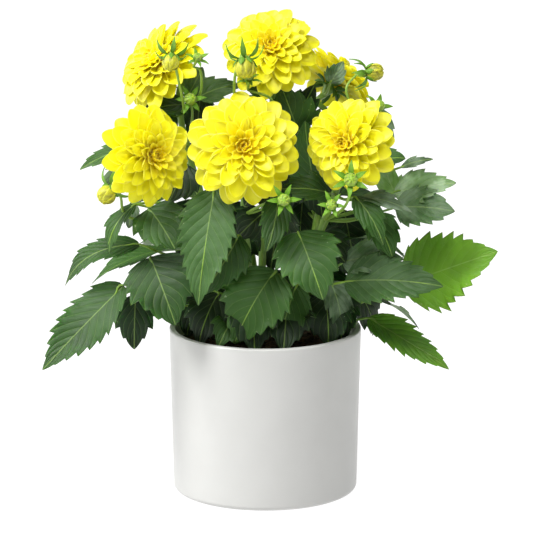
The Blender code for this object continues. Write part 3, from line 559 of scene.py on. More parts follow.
def yellow_petal(name, outer, inner, rim, foot, foot_share):
    """Between an outer and an inner colour by the heart mark and with a foot tint, both partly the petal's
    own deeper colour and partly painted shade, with a pale rim that is a painted highlight, and fine veins.
    """
    material, tree, shader = new_material(name)
    map_of = add(tree, "UVMap", {}, uv_map="along_across").outputs[0]
    stretch = (PETAL_LONG / VEIN_LONG, PETAL_WIDE / VEIN_WIDE, 1.0)
    long = add(tree, "Mapping", {"Vector": map_of, "Scale": stretch}).outputs[0]
    veins = add(tree, "TexNoise", {"Vector": long, "Scale": 1.0, "Detail": 4.0}).outputs[0]
    heart, across, along = (add(tree, "Attribute", {}, attribute_name=mark).outputs["Fac"]
                            for mark in ("heart", "across", "along"))
    # The inner colour is partly the heart's own deeper gold and partly painted shade in the recessed heart.
    colour = blend_of(tree, heart, linear(outer), linear(inner))
    # The foot tint is partly the petal's own deeper colour and partly painted shade in the cup near its foot.
    foot_tint_and_shade = math_of(tree, "SUBTRACT", 1.0, band_of(tree, along, 0.1, 0.62))
    # pale is a painted highlight along the petal's rim; dark is the veins' own colour.
    dark, pale = band_of(tree, veins, 0.5, 0.75), band_of(tree, across, 0.88, 1.0)
    for where, share, tint in ((foot_tint_and_shade, foot_share, foot), (dark, 0.16, foot), (pale, 0.55, rim)):
        colour = blend_of(tree, math_of(tree, "MULTIPLY", where, share), colour, linear(tint))
    finish(tree, shader, colour, veins, 0.4, 0.3, {
        "Roughness": 0.5, "Sheen Weight": 0.08, "Subsurface Weight": 0.7,
        "Subsurface Radius": (1.0, 1.0, 0.1), "Subsurface Scale": LIGHT_REACH})
    return material


# The fourth colour of each is the pale rim, a painted highlight.
PETAL = yellow_petal("lemon_dahlia_petal", "#FEF400", "#FDDC00", "#FFF95A", "#F6C400", 0.32)
BUD_PETAL = yellow_petal("greenish_bud_petal", "#BCC226", "#D8C81C", "#DCDB58", "#6F9A24", 0.6)
YOUNG_PETAL = yellow_petal("young_green_bud_petal", "#96BE38", "#C9D63A", "#D0DC80", "#5F8F2A", 0.5)

# %% [markdown]
# The pot is a profile turned about its axis. It is slightly wider at the rim than at the foot, with a
# small rounded edge at the foot and a rounded lip. The inside is made too, down to the floor, because a
# reader who lifts the plant out would see it.

# %% Pot
RIM_RADIUS, BASE_RADIUS, POT_HEIGHT, WALL, FLOOR = 75.0, 72.0, 130.0, 5.0, 7.0
FOOT_ROUNDING, LIP_ROUNDING = 4.0, 1.6
POT_ROUND = 160


def wall_radius(height):
    """Outer radius at a height: straight from foot to rim."""
    return BASE_RADIUS + (RIM_RADIUS - BASE_RADIUS) * height / POT_HEIGHT


def arc(radius, height, rounding, start, end, steps=9):
    """Points (radius, height) of an arc round a middle, at even angles in degrees."""
    turn = np.radians(np.linspace(start, end, steps))
    return np.stack([radius + rounding * np.cos(turn), height + rounding * np.sin(turn)], -1)


def straight(start, end, steps):
    """Points (radius, height) at even steps of a straight line, both ends left out."""
    return np.linspace(start, end, steps + 2)[1:-1]


def lathe_rings(profile, around):
    """Rings (1, n, m, 3): each profile point (r, h) becomes the circle (r cos a, r sin a, h)."""
    a = 2 * np.pi * np.arange(around) / around
    r, h = np.asarray(profile, float).T[:, :, None]
    return np.stack(np.broadcast_arrays(r * np.cos(a), r * np.sin(a), h), -1)[None]


def ring_uv(rings, around):
    """UV by ring number and by turn."""
    return np.stack(np.meshgrid(np.linspace(0, 1, rings), np.arange(around) / around, indexing="ij"), -1)


def make_pot():
    """The pot as one closed turned skin: underside, foot, wall, lip, inside wall and inside floor."""
    inner = wall_radius(FLOOR) - WALL
    foot = arc(BASE_RADIUS - FOOT_ROUNDING, FOOT_ROUNDING, FOOT_ROUNDING, -90, 0)
    lip = arc(RIM_RADIUS - LIP_ROUNDING, POT_HEIGHT - LIP_ROUNDING, LIP_ROUNDING, 0, 90)
    inner_lip = arc(RIM_RADIUS - WALL + LIP_ROUNDING, POT_HEIGHT - LIP_ROUNDING, LIP_ROUNDING, 90, 180)
    corner = (inner, FLOOR)
    profile = np.vstack([
        straight((0, 0), foot[0], 6), foot, straight(foot[-1], lip[0], 16), lip, inner_lip,
        straight(inner_lip[-1], corner, 8), [corner], straight(corner, (0, FLOOR), 4)])
    rings = lathe_rings(profile, POT_ROUND)
    skin = Skin()
    skin.add(rings, np.zeros((1, 3)), np.array([(0, 0, FLOOR)]), ring_uv(len(profile), POT_ROUND))
    skin.build("glazed_pot", GLAZE, "pot", "pot")


make_pot()

# %% [markdown]
# The soil is a plug with a domed, lumpy top, again a turned profile, whose heights then get a sum of
# waves in several directions. Crumbs lie on it: each one is three small rings with a point at both
# ends, all of them moved and scaled as one array.

# %% Soil and crumbs
SOIL_TOP, SOIL_SWELL, SEAT_GAP, SOIL_LUMPS = 116.0, 4.25, 0.35, 2.8
SOIL_ROUND, CRUMBS, CRUMB_SIZES = 110, 260, (0.8, 2.3)
WAVES, WAVE_LENGTHS = 8, (6, 30)


def lumps(x, y):
    """Height of the lumps: the mean of eight waves of 6 to 30 mm, in seeded directions, times their size."""
    draw = np.random.default_rng(SEED)
    total = 0.0
    for wave in draw.uniform(*WAVE_LENGTHS, WAVES):
        way, phase = draw.uniform(0, 2 * np.pi, 2)
        total = total + np.sin((x * np.cos(way) + y * np.sin(way)) * 2 * np.pi / wave + phase) / WAVES
    return SOIL_LUMPS * total


def dome_height(share):
    """Height of the soil without its lumps, at a share of its radius."""
    return SOIL_TOP + SOIL_SWELL * (1 - share**2)


def make_soil():
    """The plug: a turned profile with lumps added to its top, and the crumbs that lie on it, in one skin."""
    edge = wall_radius(SOIL_TOP) - WALL - SEAT_GAP
    low = wall_radius(FLOOR) - WALL - SEAT_GAP
    bottom = FLOOR + SEAT_GAP
    share = np.linspace(1, 0.02, 42)
    dome = np.stack([edge * share, dome_height(share)], -1)
    corner = (low, bottom)
    profile = np.vstack([straight((0, bottom), corner, 3), [corner], straight(corner, dome[0], 5), dome])
    rings = lathe_rings(profile, SOIL_ROUND)
    top = rings[:, -len(dome) + 1:]
    top[..., 2] += lumps(top[..., 0], top[..., 1])
    skin = Skin()
    skin.add(rings, np.array([(0, 0, bottom)]), rings[:, -1].mean(1), ring_uv(len(profile), SOIL_ROUND))
    draw = np.random.default_rng(SEED + 3)
    small = lathe_rings([(0.6, -0.5), (1.0, 0.0), (0.6, 0.55)], 6) * (1, 1, 0.7)
    poles = np.array([(0, 0, -0.55), (0, 0, 0.55)])
    radius = draw.uniform(*CRUMB_SIZES, CRUMBS)[:, None]
    reach, way = (edge - 3) * np.sqrt(draw.uniform(0, 1, CRUMBS)), draw.uniform(0, 2 * np.pi, CRUMBS)
    x, y = reach * np.cos(way), reach * np.sin(way)
    at = np.stack([x, y, dome_height(reach / edge) + lumps(x, y)], -1)
    uneven = draw.uniform(0.7, 1.3, (CRUMBS, 3, 6, 1))
    crumbs = small * uneven * radius[:, None, None] + at[:, None, None]
    skin.add(crumbs, poles[0] * radius + at, poles[1] * radius + at, ring_uv(3, 6))
    skin.build("potting_soil", PEAT, "soil", "soil")


make_soil()

# %% [markdown]
# The plan of the plant. Each stem is given by the points that it passes, and each bloom by the middle
# of its face, the way it looks and its radius. A stem ends under its bloom. The numbers come from the
# photograph for the front, and from how such a bush grows for the back.

# %% Stems and blooms
STEMS = {
    "a": {"knots": ((-16, 6, 0), (-30, 8, 175), (-52, 4, 240), (-66, -4, 300)), "radius": 3.2},
    "b": {"knots": ((-2, 12, 0), (-2, 14, 190), (4, 8, 260), (6, 2, 320)), "radius": 3.2},
    "c": {"knots": ((-6, -14, 0), (-12, -20, 170), (-16, -26, 225), (-16, -36, 265)), "radius": 3.2},
    "d": {"knots": ((-22, -12, 0), (-44, -20, 165), (-66, -24, 215), (-80, -34, 252)), "radius": 3.0},
    "e": {"knots": ((14, -10, 0), (28, -18, 170), (46, -24, 220), (60, -30, 258)), "radius": 3.2},
    "f": {"knots": ((18, 10, 0), (34, 14, 180), (46, 18, 240), (54, 20, 286)), "radius": 3.0},
    "g": {"knots": ((0, 26, 0), (-8, 44, 160), (-14, 62, 202), (-18, 76, 238)), "radius": 3.0},
}
BLOOMS = {
    "a": {"centre": (-85, -11, 344), "looks": (-153, 40), "radius": 41},
    "b": {"centre": (4, -28, 357), "looks": (-93, 38), "radius": 38},
    "c": {"centre": (-16, -82, 290), "looks": (-91, 17), "radius": 44},
    "d": {"centre": (-84, -73, 281), "looks": (-55, 9), "radius": 39},
    "e": {"centre": (60, -68, 289), "looks": (-118, 12), "radius": 38},
    "f": {"centre": (57, 32, 323), "looks": (40, 42), "radius": 36},
    "g": {"centre": (-22, 104, 262), "looks": (98, 30), "radius": 40},
}
FACE_HEIGHT = 0.34
RECEPTACLE_LOW = 0.02
CALYX_DEPTH, NECK = 8.0, 8.0
ROOT_DEPTH, COLLAR = 26.0, 11.0


def bloom_frame(bloom):
    """Foot of a bloom, and its own axes as columns: across, other, and the way it looks."""
    axis = direction(*bloom["looks"])
    across = unit(np.cross((0, 0, 1), axis))
    turned = np.column_stack([across, np.cross(axis, across), axis])
    return np.array(bloom["centre"], float) - axis * FACE_HEIGHT * bloom["radius"], turned


def stem_knots(name):
    """Points that a stem's curve passes, from soil to neck, and its bloom's seat and axis."""
    bloom = BLOOMS[name]
    origin, turned = bloom_frame(bloom)
    axis = turned[:, 2]
    seat = origin + axis * (RECEPTACLE_LOW * bloom["radius"] - SEAT_GAP)
    neck = seat - axis * CALYX_DEPTH
    knots = [(x, y, z or SOIL_TOP + COLLAR) for x, y, z in STEMS[name]["knots"]]
    return [*knots, neck - axis * NECK, neck], seat, axis


# The same coarse points as the CAD's stems serve to find where a stalk leaves its stem.
COARSE = {name: smooth_path(stem_knots(name)[0], 2) for name in STEMS}
print("stems:", {name: round(float(path[-1][2])) for name, path in COARSE.items()})

# %% [markdown]
# Petals. A double dahlia has about eighty petals in whorls that follow each other like shingles. The
# outer ones are broad and nearly flat, and each whorl further in is shorter, steeper and more cupped,
# until the last few stand as a closed bud in the heart. So one table of whorls, as shares of the
# bloom's radius, gives the whole bloom, and every petal of a whorl is worked out in one array. What is
# off by chance, in degrees or shares, keeps two petals from looking alike.

# %% Blooms
PETAL_WHORLS = (
    # petals, length, width, rise, foot radius, foot height, arch, curl, cup
    (12, 0.80, 0.41, -9, 0.20, 0.08, 0.055, -0.03, 0.20),
    (12, 0.77, 0.39, 0, 0.19, 0.13, 0.055, -0.01, 0.23),
    (11, 0.71, 0.36, 8, 0.18, 0.18, 0.05, 0.01, 0.26),
    (11, 0.63, 0.32, 16, 0.165, 0.22, 0.045, 0.02, 0.30),
    (10, 0.54, 0.275, 24, 0.145, 0.26, 0.035, 0.03, 0.36),
    (9, 0.44, 0.23, 33, 0.12, 0.29, 0.02, 0.04, 0.45),
    (8, 0.33, 0.185, 43, 0.095, 0.32, 0.01, 0.05, 0.55),
    (7, 0.22, 0.13, 56, 0.065, 0.34, 0.0, 0.06, 0.65),
    (6, 0.14, 0.09, 70, 0.04, 0.355, -0.01, 0.05, 0.75),
)
RECEPTACLE = ((0.10, 0.02), (0.17, 0.03), (0.205, 0.08), (0.19, 0.18), (0.15, 0.25), (0.10, 0.31),
              (0.05, 0.35))
PETAL_THICKNESS = 0.4
# From this whorl on, petals move towards the inner colour: partly the heart's own gold, partly painted shade.
FIRST_GOLDEN = 5
RECEPTACLE_ROUND = 24
FOLDS, WAVY, WAVE_TURN = 0.055, 0.02, 4.5
AZIMUTH_OFF, SLOPE_OFF, TURN_OFF = 5, 5, 4
PETAL_LENGTHS, PETAL_CUPS, PETAL_TWISTS = (0.9, 1.05), (0.8, 1.2), (5, 14)


def add_petals(skin, origin, turned, size, whorl, turn, heart, draw):
    """One whorl: petals at even azimuths, each a little off, twisted like shingles, with two folds along."""
    count, length, width, rise, foot, height, arch, curl, cup = whorl
    v, face = across_loop(7)
    u = 0.012 + 0.98 * (1 - (1 - np.linspace(0.0, 1.0, 11)) ** 1.5)
    azimuth = turn + 360 * np.arange(count) / count + draw.uniform(-AZIMUTH_OFF, AZIMUTH_OFF, count)
    slope = rise + draw.uniform(-SLOPE_OFF, SLOPE_OFF, count)
    base = direction(azimuth, 0 * azimuth) * foot + (0, 0, height)
    along, up = direction(azimuth, slope), direction(azimuth + 180, 90 - slope)
    longer = draw.uniform(*PETAL_LENGTHS, count)
    phase = draw.uniform(0, 2 * np.pi, (count, 1, 1))
    folds = FOLDS * width * size * np.cos(2 * np.pi * v) * np.sin(np.pi * u)[:, None]
    wavy = WAVY * size * v**3 * np.sin(WAVE_TURN * u[:, None] + phase)
    rings, tips = blades(
        base * size @ turned.T + origin, along @ turned.T, up @ turned.T, length * size * longer,
        width * size, petal_outline, u, v, face, arch=arch * size, curl=curl * size,
        cup=cup * draw.uniform(*PETAL_CUPS, count), twist=draw.uniform(*PETAL_TWISTS, count),
        thickness=PETAL_THICKNESS, lift=folds + wavy)
    marks = {"heart": heart, "across": np.abs(v), "along": u[:, None]}
    skin.add(rings, rings[:, 0].mean(1), tips, blade_uv(u, v), **marks)


def make_bloom(name):
    """One bloom: its receptacle and all whorls in one skin, each whorl turned on by half a petal."""
    bloom = BLOOMS[name]
    origin, turned = bloom_frame(bloom)
    size = bloom["radius"]
    draw = np.random.default_rng(SEED + round(size * 10 + bloom["centre"][0]))
    skin = Skin()
    core = lathe_rings(np.array(RECEPTACLE) * size, RECEPTACLE_ROUND) @ turned.T + origin
    skin.add(core, core[:, 0].mean(1), core[:, -1].mean(1), ring_uv(len(RECEPTACLE), RECEPTACLE_ROUND),
             heart=1.0, across=0.0, along=0.0)
    turn = draw.uniform(0, 360)
    golden = len(PETAL_WHORLS) - FIRST_GOLDEN
    for level, whorl in enumerate(PETAL_WHORLS, 1):
        turn += 180 / whorl[0] + draw.uniform(-TURN_OFF, TURN_OFF)
        heart = max(0.0, (level - FIRST_GOLDEN) / golden)
        add_petals(skin, origin, turned, size, whorl, turn, heart, draw)
    skin.build("petals_" + name, PETAL, "petals", "bloom_" + name)


for bloom_name in BLOOMS:
    make_bloom(bloom_name)

# %% [markdown]
# The leaves that the photograph shows, one by one: the stem each belongs to, its foot, its tip, the way
# its upper face looks, its width and its arch. Behind, where no photograph shows them, they stand in
# tiers.

# %% Plan of the leaves
LEAVES = {
    "left_low": ("d", (-108, -46, 174), (-171, -71, 113), (-112, 42), 41, 1),
    "left_twisted": ("d", (-96, -38, 204), (-155, -32, 170), (-96, 48), 22, 18),
    "left_broad": ("d", (-88, -46, 196), (-68, -76, 149), (-92, 28), 54, 8),
    "left_dark": ("d", (-101, -2, 156), (-102, -16, 115), (-95, 12), 32, 3),
    "left_narrow": ("d", (-99, -50, 238), (-121, -62, 204), (-140, 34), 19, 6),
    "left_pointed": ("a", (-98, -12, 275), (-142, -40, 262), (-104, 52), 18, 5),
    "left_behind": ("a", (-95, -8, 264), (-124, -30, 244), (-118, 34), 28, 4),
    "left_middle": ("d", (-89, -46, 234), (-68, -72, 207), (-86, 34), 40, 5),
    "centre_long": ("c", (-38, -56, 252), (-51, -88, 168), (-96, 16), 42, 9),
    "centre_under": ("c", (-20, -40, 212), (-48, -62, 170), (-70, 22), 34, 6),
    "centre_folded": ("c", (10, -62, 247), (1, -85, 209), (-70, 22), 24, 5),
    "right_level": ("e", (50, -48, 246), (11, -66, 254), (-94, 38), 27, 4),
    "right_upright": ("e", (38, -22, 246), (30, -30, 298), (-100, 8), 34, 3),
    "right_centre": ("e", (25, -56, 218), (44, -86, 172), (-90, 24), 50, 8),
    "low_front": ("c", (8, -40, 184), (-24, -57, 131), (-98, 32), 54, 8),
    "low_right": ("e", (50, -34, 174), (58, -30, 134), (-62, 28), 28, 5),
    "low_side": ("f", (65, 6, 164), (84, 16, 118), (-52, 34), 36, 8),
    "right_long": ("e", (61, -40, 175), (136, -62, 177), (-86, 38), 42, 6),
    "right_bright": ("f", (107, -14, 167), (179, -40, 199), (-80, 26), 58, 1),
    "right_low": ("f", (80, -14, 140), (142, -50, 111), (-84, 44), 27, 0),
    "right_high": ("f", (99, -28, 243), (146, -45, 254), (-102, 38), 28, 1),
    "right_point": ("f", (100, -38, 233), (145, -52, 233), (-80, 30), 34, 5),
    "right_far": ("f", (84, -16, 262), (107, -26, 270), (-96, 50), 24, 3),
    "right_pale": ("f", (101, -14, 238), (90, -18, 266), (-110, 14), 22, 2),
    "right_edge": ("e", (72, -54, 244), (112, -62, 234), (-92, 66), 18, 4),
    "right_hang": ("e", (68, -58, 246), (90, -74, 212), (-62, 20), 22, 5),
    "right_under": ("e", (84, -30, 226), (98, -46, 196), (-80, 20), 27, 3),
    "right_grey": ("e", (60, -26, 187), (106, -40, 194), (-90, 42), 30, 5),
    "top_right_tip": ("f", (80, 4, 304), (99, -14, 279), (-70, 20), 17, 4),
    "top_left_up": ("a", (-60, 2, 312), (-48, 10, 334), (-90, 4), 20, 2),
    "top_left": ("a", (-52, -8, 313), (-19, 0, 322), (-96, 42), 24, 4),
    "under_a": ("a", (-68, -8, 298), (-100, -24, 298), (-100, 40), 34, 4),
    "top_middle": ("b", (26, -12, 286), (12, -24, 326), (-88, 6), 40, 4),
    "top_small": ("b", (4, -6, 316), (-18, -10, 330), (-90, 26), 22, 3),
    "top_right_small": ("f", (50, -9, 325), (60, -12, 342), (-80, 18), 16, 2),
    "behind_c": ("c", (2, -30, 254), (-16, -46, 236), (-80, 30), 28, 4),
    "dark_centre": ("c", (-2, -26, 226), (-22, -34, 208), (-84, 26), 30, 4),
    "dark_right": ("e", (40, -18, 206), (62, -32, 188), (-80, 30), 32, 4),
    "inner_left": ("a", (-50, 26, 226), (-62, 30, 172), (-92, 16), 50, 4),
    "inner_centre": ("g", (-16, 36, 222), (-26, 38, 166), (-88, 14), 50, 4),
    "inner_right": ("f", (30, 32, 232), (26, 32, 176), (-94, 14), 48, 4),
    "inner_far_right": ("f", (62, 30, 216), (72, 32, 160), (-86, 18), 50, 4),
    "inner_low_left": ("a", (-34, 24, 176), (-44, 26, 130), (-90, 20), 44, 3),
    "inner_low_centre": ("g", (0, 34, 168), (6, 34, 128), (-90, 18), 46, 3),
    "inner_low_right": ("f", (42, 30, 172), (50, 30, 128), (-90, 18), 44, 3),
    "low_centre": ("c", (24, -36, 172), (10, -50, 130), (-90, 24), 34, 5),
    "rim_left": ("d", (-40, -20, 148), (-54, -32, 132), (-100, 40), 26, 4),
    "rim_front": ("d", (-24, -34, 144), (-36, -56, 127), (-92, 46), 24, 4),
    "mouth_left": ("d", (-36, -24, 162), (-52, -40, 125), (-104, 30), 34, 6),
    "mouth_left_dark": ("d", (-46, -6, 158), (-62, -16, 126), (-112, 28), 34, 5),
    "mouth_front": ("c", (-10, -36, 160), (-8, -63, 125), (-90, 34), 40, 6),
    "mouth_centre": ("c", (17, -31, 158), (14, -62, 125), (-88, 34), 40, 6),
    "mouth_right": ("e", (46, -20, 160), (49, -44, 125), (-80, 32), 40, 6),
    "mouth_far_right": ("f", (50, -6, 160), (60, -28, 125), (-70, 32), 38, 5),
    "mouth_right_dark": ("f", (52, 12, 158), (66, 2, 126), (-62, 28), 32, 5),
    "gap_centre": ("g", (12, 24, 262), (8, 22, 210), (-90, 14), 46, 3),
    "gap_right": ("f", (36, 16, 268), (45, 12, 214), (-88, 14), 44, 3),
    "gap_left": ("a", (-34, 16, 278), (-30, 16, 226), (-92, 14), 40, 3),
    "gap_middle": ("b", (12, 18, 226), (4, 16, 170), (-88, 14), 36, 3),
    "gap_top": ("b", (22, -2, 292), (38, -4, 322), (-86, 10), 24, 2),
    "back_high": ("b", (-6, 46, 300), (-10, 98, 288), (95, 58), 36, 6),
    "gap_left_high": ("a", (-50, 10, 314), (-54, 8, 272), (-92, 10), 26, 2),
    "left_hang": ("d", (-100, -38, 236), (-105, -40, 217), (-100, 20), 13, 2),
    "right_sliver": ("f", (104, -26, 262), (129, -34, 270), (-96, 50), 9, 2),
    "behind_d": ("d", (-60, -24, 264), (-74, -33, 236), (-90, 20), 34, 3),
    "under_a_front": ("a", (-62, -12, 308), (-84, -34, 310), (-96, 30), 22, 2),
}
BACK_TIERS = (
    (158, 5, 54, 118, 34, 12, 164, 42),
    (194, 5, 58, 132, 24, 26, 190, 48),
    (230, 4, 56, 122, 20, 20, 164, 44),
    (264, 2, 52, 106, 14, 40, 150, 38),
)
YELLOW_BUDS = {
    "bud_top_left": ("a", 290, ((-62, -42, 312), (-66, -58, 338)), (-71, -68, 351), (-95, -40), 6.2),
    "bud_top": ("b", 290, ((-20, -36, 312), (-23, -58, 338)), (-15, -68, 347), (-80, -58), 7.4),
    "bud_right": ("f", 262, ((70, -18, 292), (62, -26, 322)), (84, -18, 335), (-10, 10), 6.4),
    "bud_left": ("d", 222, ((-104, -50, 228), (-110, -54, 244)), (-120, -70, 250), (-125, -30), 7.0),
}
GREEN_BUDS = {
    "young_front": ("e", 226, ((56, -60, 234), (62, -94, 250)), (64, -101, 268), (-90, 22), 5.0),
    "young_centre": ("c", 230, ((0, -56, 240),), (14, -94, 251), (-90, 10), 4.5),
    "young_right": ("e", 220, ((50, -58, 236),), (50, -88, 246), (-100, 20), 4.0),
    "young_top_left": ("a", 284, ((-56, -20, 300),), (-57, -40, 318), (-90, 20), 4.5),
    "young_top_right": ("f", 276, ((72, 2, 290),), (87, -20, 309), (-60, 30), 4.5),
    "young_top": ("b", 284, ((8, -36, 304), (4, -48, 320)), (-13, -54, 337), (-90, 70), 4.0),
    "young_dark": ("a", 290, ((-50, -34, 320), (-49, -44, 340)), (-51, -52, 352), (-60, 50), 3.6),
    "young_back": ("g", 226, ((8, 72, 236),), (32, 84, 262), (70, 30), 4.5),
}


BACK_SWAY, BACK_REACHES, BACK_RISE, BACK_ARCH = 8, (0.92, 1.05), 58, 8
BELOW, STALK_SLOPE, JOINT_CLEAR = 15, 0.35, 10


def back_leaves():
    """Leaves of each tier: feet at even azimuths, tips further out and lower, a little off to one side."""
    draw = random.Random(SEED + 1)
    rows = []
    for tier, (height, count, near, far, drop, first, last, width) in enumerate(BACK_TIERS):
        for k in range(count):
            azimuth = first + (last - first) * k / (count - 1)
            base = direction(azimuth, 0) * near + (0, 0, height)
            sway = direction(azimuth + draw.uniform(-BACK_SWAY, BACK_SWAY), 0)
            tip = sway * far * draw.uniform(*BACK_REACHES) + (0, 0, height - drop)
            rows.append((f"back_{tier}_{k}", base, tip, (azimuth, BACK_RISE), width, BACK_ARCH))
    return rows


def nearest_stem(base):
    """The stem that passes nearest to a point, seen from above, 15 mm under its height."""
    def distance(name):
        path = COARSE[name]
        at_level = path[np.abs(path[:, 2] - base[2] + BELOW).argmin()]
        return np.linalg.norm(at_level[:2] - base[:2])
    return min(sorted(COARSE), key=distance)


def joint_on_stem(path, base):
    """Where a stalk leaves its stem: lower than the leaf's foot by 0.35 of the distance between them."""
    at_level = path[np.abs(path[:, 2] - base[2]).argmin()]
    wanted = max(base[2] - STALK_SLOPE * np.hypot(*(at_level - base)[:2]), SOIL_TOP + JOINT_CLEAR)
    return path[np.abs(path[:, 2] - wanted).argmin()]


# %% [markdown]
# A leaf's edge has coarse teeth that point forward, one at the end of each side vein. Along a tooth the
# edge swells out steadily and then drops back at once, which is a saw wave; the rings are set so that
# four of them fall on every tooth, one of them right on its point. The blade is folded a little along
# its midrib, waves at its edge, and puffs up between its side veins.

# %% Leaves
TOOTH_PITCH = 8.4
TOOTH_AT = 0.84
VEIN_REACH = 2.84
LEAF_THICKNESS, LEAF_FOLD = 0.45, 0.16
TOOTH_OUT, TOOTH_FORWARD, EDGE_IN, TOOTH_SIZES = 0.24, 0.4, 0.08, (0.55, 1.15)
LEAF_WAVE, VEIN_PUFF, LEAF_TWIST = 0.17, 0.04, 16
WAVE_COUNTS, WAVE_SIDES, CURLS = (1.1, 1.9), (0.5, 2.5), (-0.08, 0.02)
RIB_AT, RIB_UNDER = (0.12, 0.3, 0.5, 0.7, 0.88), 0.45
LEAF_STALK, MIDRIB, STALK_TONES = (1.2, 0.9), (0.85, 0.2), (0.15, 0.5)
STRAIGHT_STALK, STALK_SAG = 32.0, 3.0
# Tones by name, set to how bright each leaf looks as lit: partly the leaf's own tone, partly painted light
# and shade, such as light shining through the brightest ones.
TONES = {"right_bright": 0.92, "right_low": 0.8, "right_pale": 0.9, "top_middle": 0.4, "top_small": 0.5,
         "left_low": 0.3, "left_twisted": 0.3, "left_pointed": 0.5, "left_broad": 0.24, "left_middle": 0.35,
         "centre_long": 0.45, "low_front": 0.55, "right_high": 0.75, "right_point": 0.5, "top_left": 0.6,
         "top_left_up": 0.6}
# How much painted grey sheen each leaf gets: a painted reflection of light on its waxy skin.
PAINTED_SHEEN = {"right_high": 0.6, "right_edge": 0.55, "right_grey": 0.35, "right_point": 0.25, "right_pale": 0.4,
       "centre_long": 0.04, "left_behind": 0.2, "left_pointed": 0.15, "top_right_small": 0.35,
       "top_left_up": 0.2, "top_left": 0.15, "top_right_tip": 0.35, "right_sliver": 0.3, "left_hang": 0.3,
       "right_long": 0.06, "low_right": 0.2}
# The first range is painted shade for leaves deep in the bush; the second is the other leaves' own tone, at
# random.
DEEP_PAINTED_SHADE, USUAL = (-0.15, 0.05), (0.24, 0.46)


def tone_of(label, draw):
    """How bright a leaf is painted, from 0 to 1: some by name, partly their own tone and partly painted light
    and shade; those deep inside dark, which is painted shade; the others at random in between.
    """
    dark = label.startswith(("inner", "gap", "dark", "mouth", "behind", "low_side", "left_dark"))
    return TONES.get(label, draw.uniform(*(DEEP_PAINTED_SHADE if dark else USUAL)))


def add_leaf(leaves, stalks, stem, label, base, tip, looks, width, arch, draw):
    """One toothed blade, and its stalk, which runs on under the blade as its midrib."""
    base, tip = np.asarray(base, float), np.asarray(tip, float)
    length = np.linalg.norm(tip - base)
    along = (tip - base) / length
    up = sideways(along, direction(*looks))
    teeth = int(np.clip(round(length / TOOTH_PITCH), 4, 10))
    u = ((np.arange(teeth)[:, None] + (0.0, 0.3, 0.6, TOOTH_AT)) / teeth).reshape(-1)
    u[0] = 0.012
    v, face = across_loop(11)
    phase = (u * teeth) % 1
    saw = np.where(phase <= TOOTH_AT + 0.001, phase / TOOTH_AT, 0) * np.sin(np.pi * u) ** 0.4
    sizes = draw.uniform(*TOOTH_SIZES, (2, teeth + 1))[:, np.floor(u * teeth).astype(int)]
    saw = saw[:, None] * np.where(v < 0, sizes[0][:, None], sizes[1][:, None])
    edge = np.abs(v) ** 5
    wide = 1 + (TOOTH_OUT * saw - EDGE_IN) * edge
    forward = TOOTH_FORWARD * length / teeth * saw * edge * np.sin(np.pi * u[:, None]) ** 0.5
    vein = teeth * u[:, None] - VEIN_REACH * np.abs(v) + 20
    half = width / 2 * leaf_outline(u)[:, None]
    turns = draw.uniform(*WAVE_COUNTS) * u[:, None] + draw.uniform(0, 1)
    wave = LEAF_WAVE * half * v**2 * np.sin(2 * np.pi * turns + draw.uniform(*WAVE_SIDES) * np.sign(v))
    puff = -VEIN_PUFF * half * np.cos(2 * np.pi * vein) * np.abs(v) * (1 - np.abs(v))
    rings, tips = blades(
        base[None], along[None], up[None], length, width, leaf_outline, u, v, face, arch=arch,
        cup=LEAF_FOLD, cup_power=1.3, twist=draw.uniform(-LEAF_TWIST, LEAF_TWIST),
        curl=length * draw.uniform(*CURLS), thickness=LEAF_THICKNESS, edge=(wide, forward),
        lift=wave + puff)
    leaves.add(rings, rings[:, 0].mean(1), tips, blade_uv(u, v), tone=tone_of(label, draw), vein=vein,
               from_rib=np.abs(v) * half, under=np.clip(-face, 0, 1), wax=PAINTED_SHEEN.get(label, 0.0))
    joint = joint_on_stem(COARSE[stem], base)
    knots = [joint, base]
    if np.linalg.norm(base - joint) > STRAIGHT_STALK:
        knots.insert(1, (joint + base) / 2 - (0, 0, STALK_SAG))
    rib = np.array(RIB_AT)[:, None]
    under = base + along * length * rib + up * (arch * 4 * rib * (1 - rib) - RIB_UNDER)
    path = smooth_path([*knots, *under], 4)
    bare = 4 * (len(knots) - 1)
    radii = [*np.linspace(*LEAF_STALK, bare, endpoint=False), *np.linspace(*MIDRIB, len(path) - bare)]
    add_stalk(stalks, path, radii, 8, tone=draw.uniform(*STALK_TONES))


# %% [markdown]
# Buds. A flower bud is a ball of petals, still closed, each lying over the next along a spiral, with a
# few pointed green bracts round its foot. On a ball the petals are easiest as patches: one parameter
# runs from the foot of the ball over its side to the top, the other runs across the petal, and the
# radius grows a little towards one edge, so that each petal lies over its neighbour.

# %% Buds and bracts
PETAL_LAYERS = ((7, 150, 1.0), (6, 172, 0.96))
BALL_TALL, CORE_SHARE, CORE_ROUND = 1.04, 0.92, 16
WRAP, SPIRAL, OVERLAP, PETAL_BODY = 250, 35, 0.06, 0.03
ROWS = 12


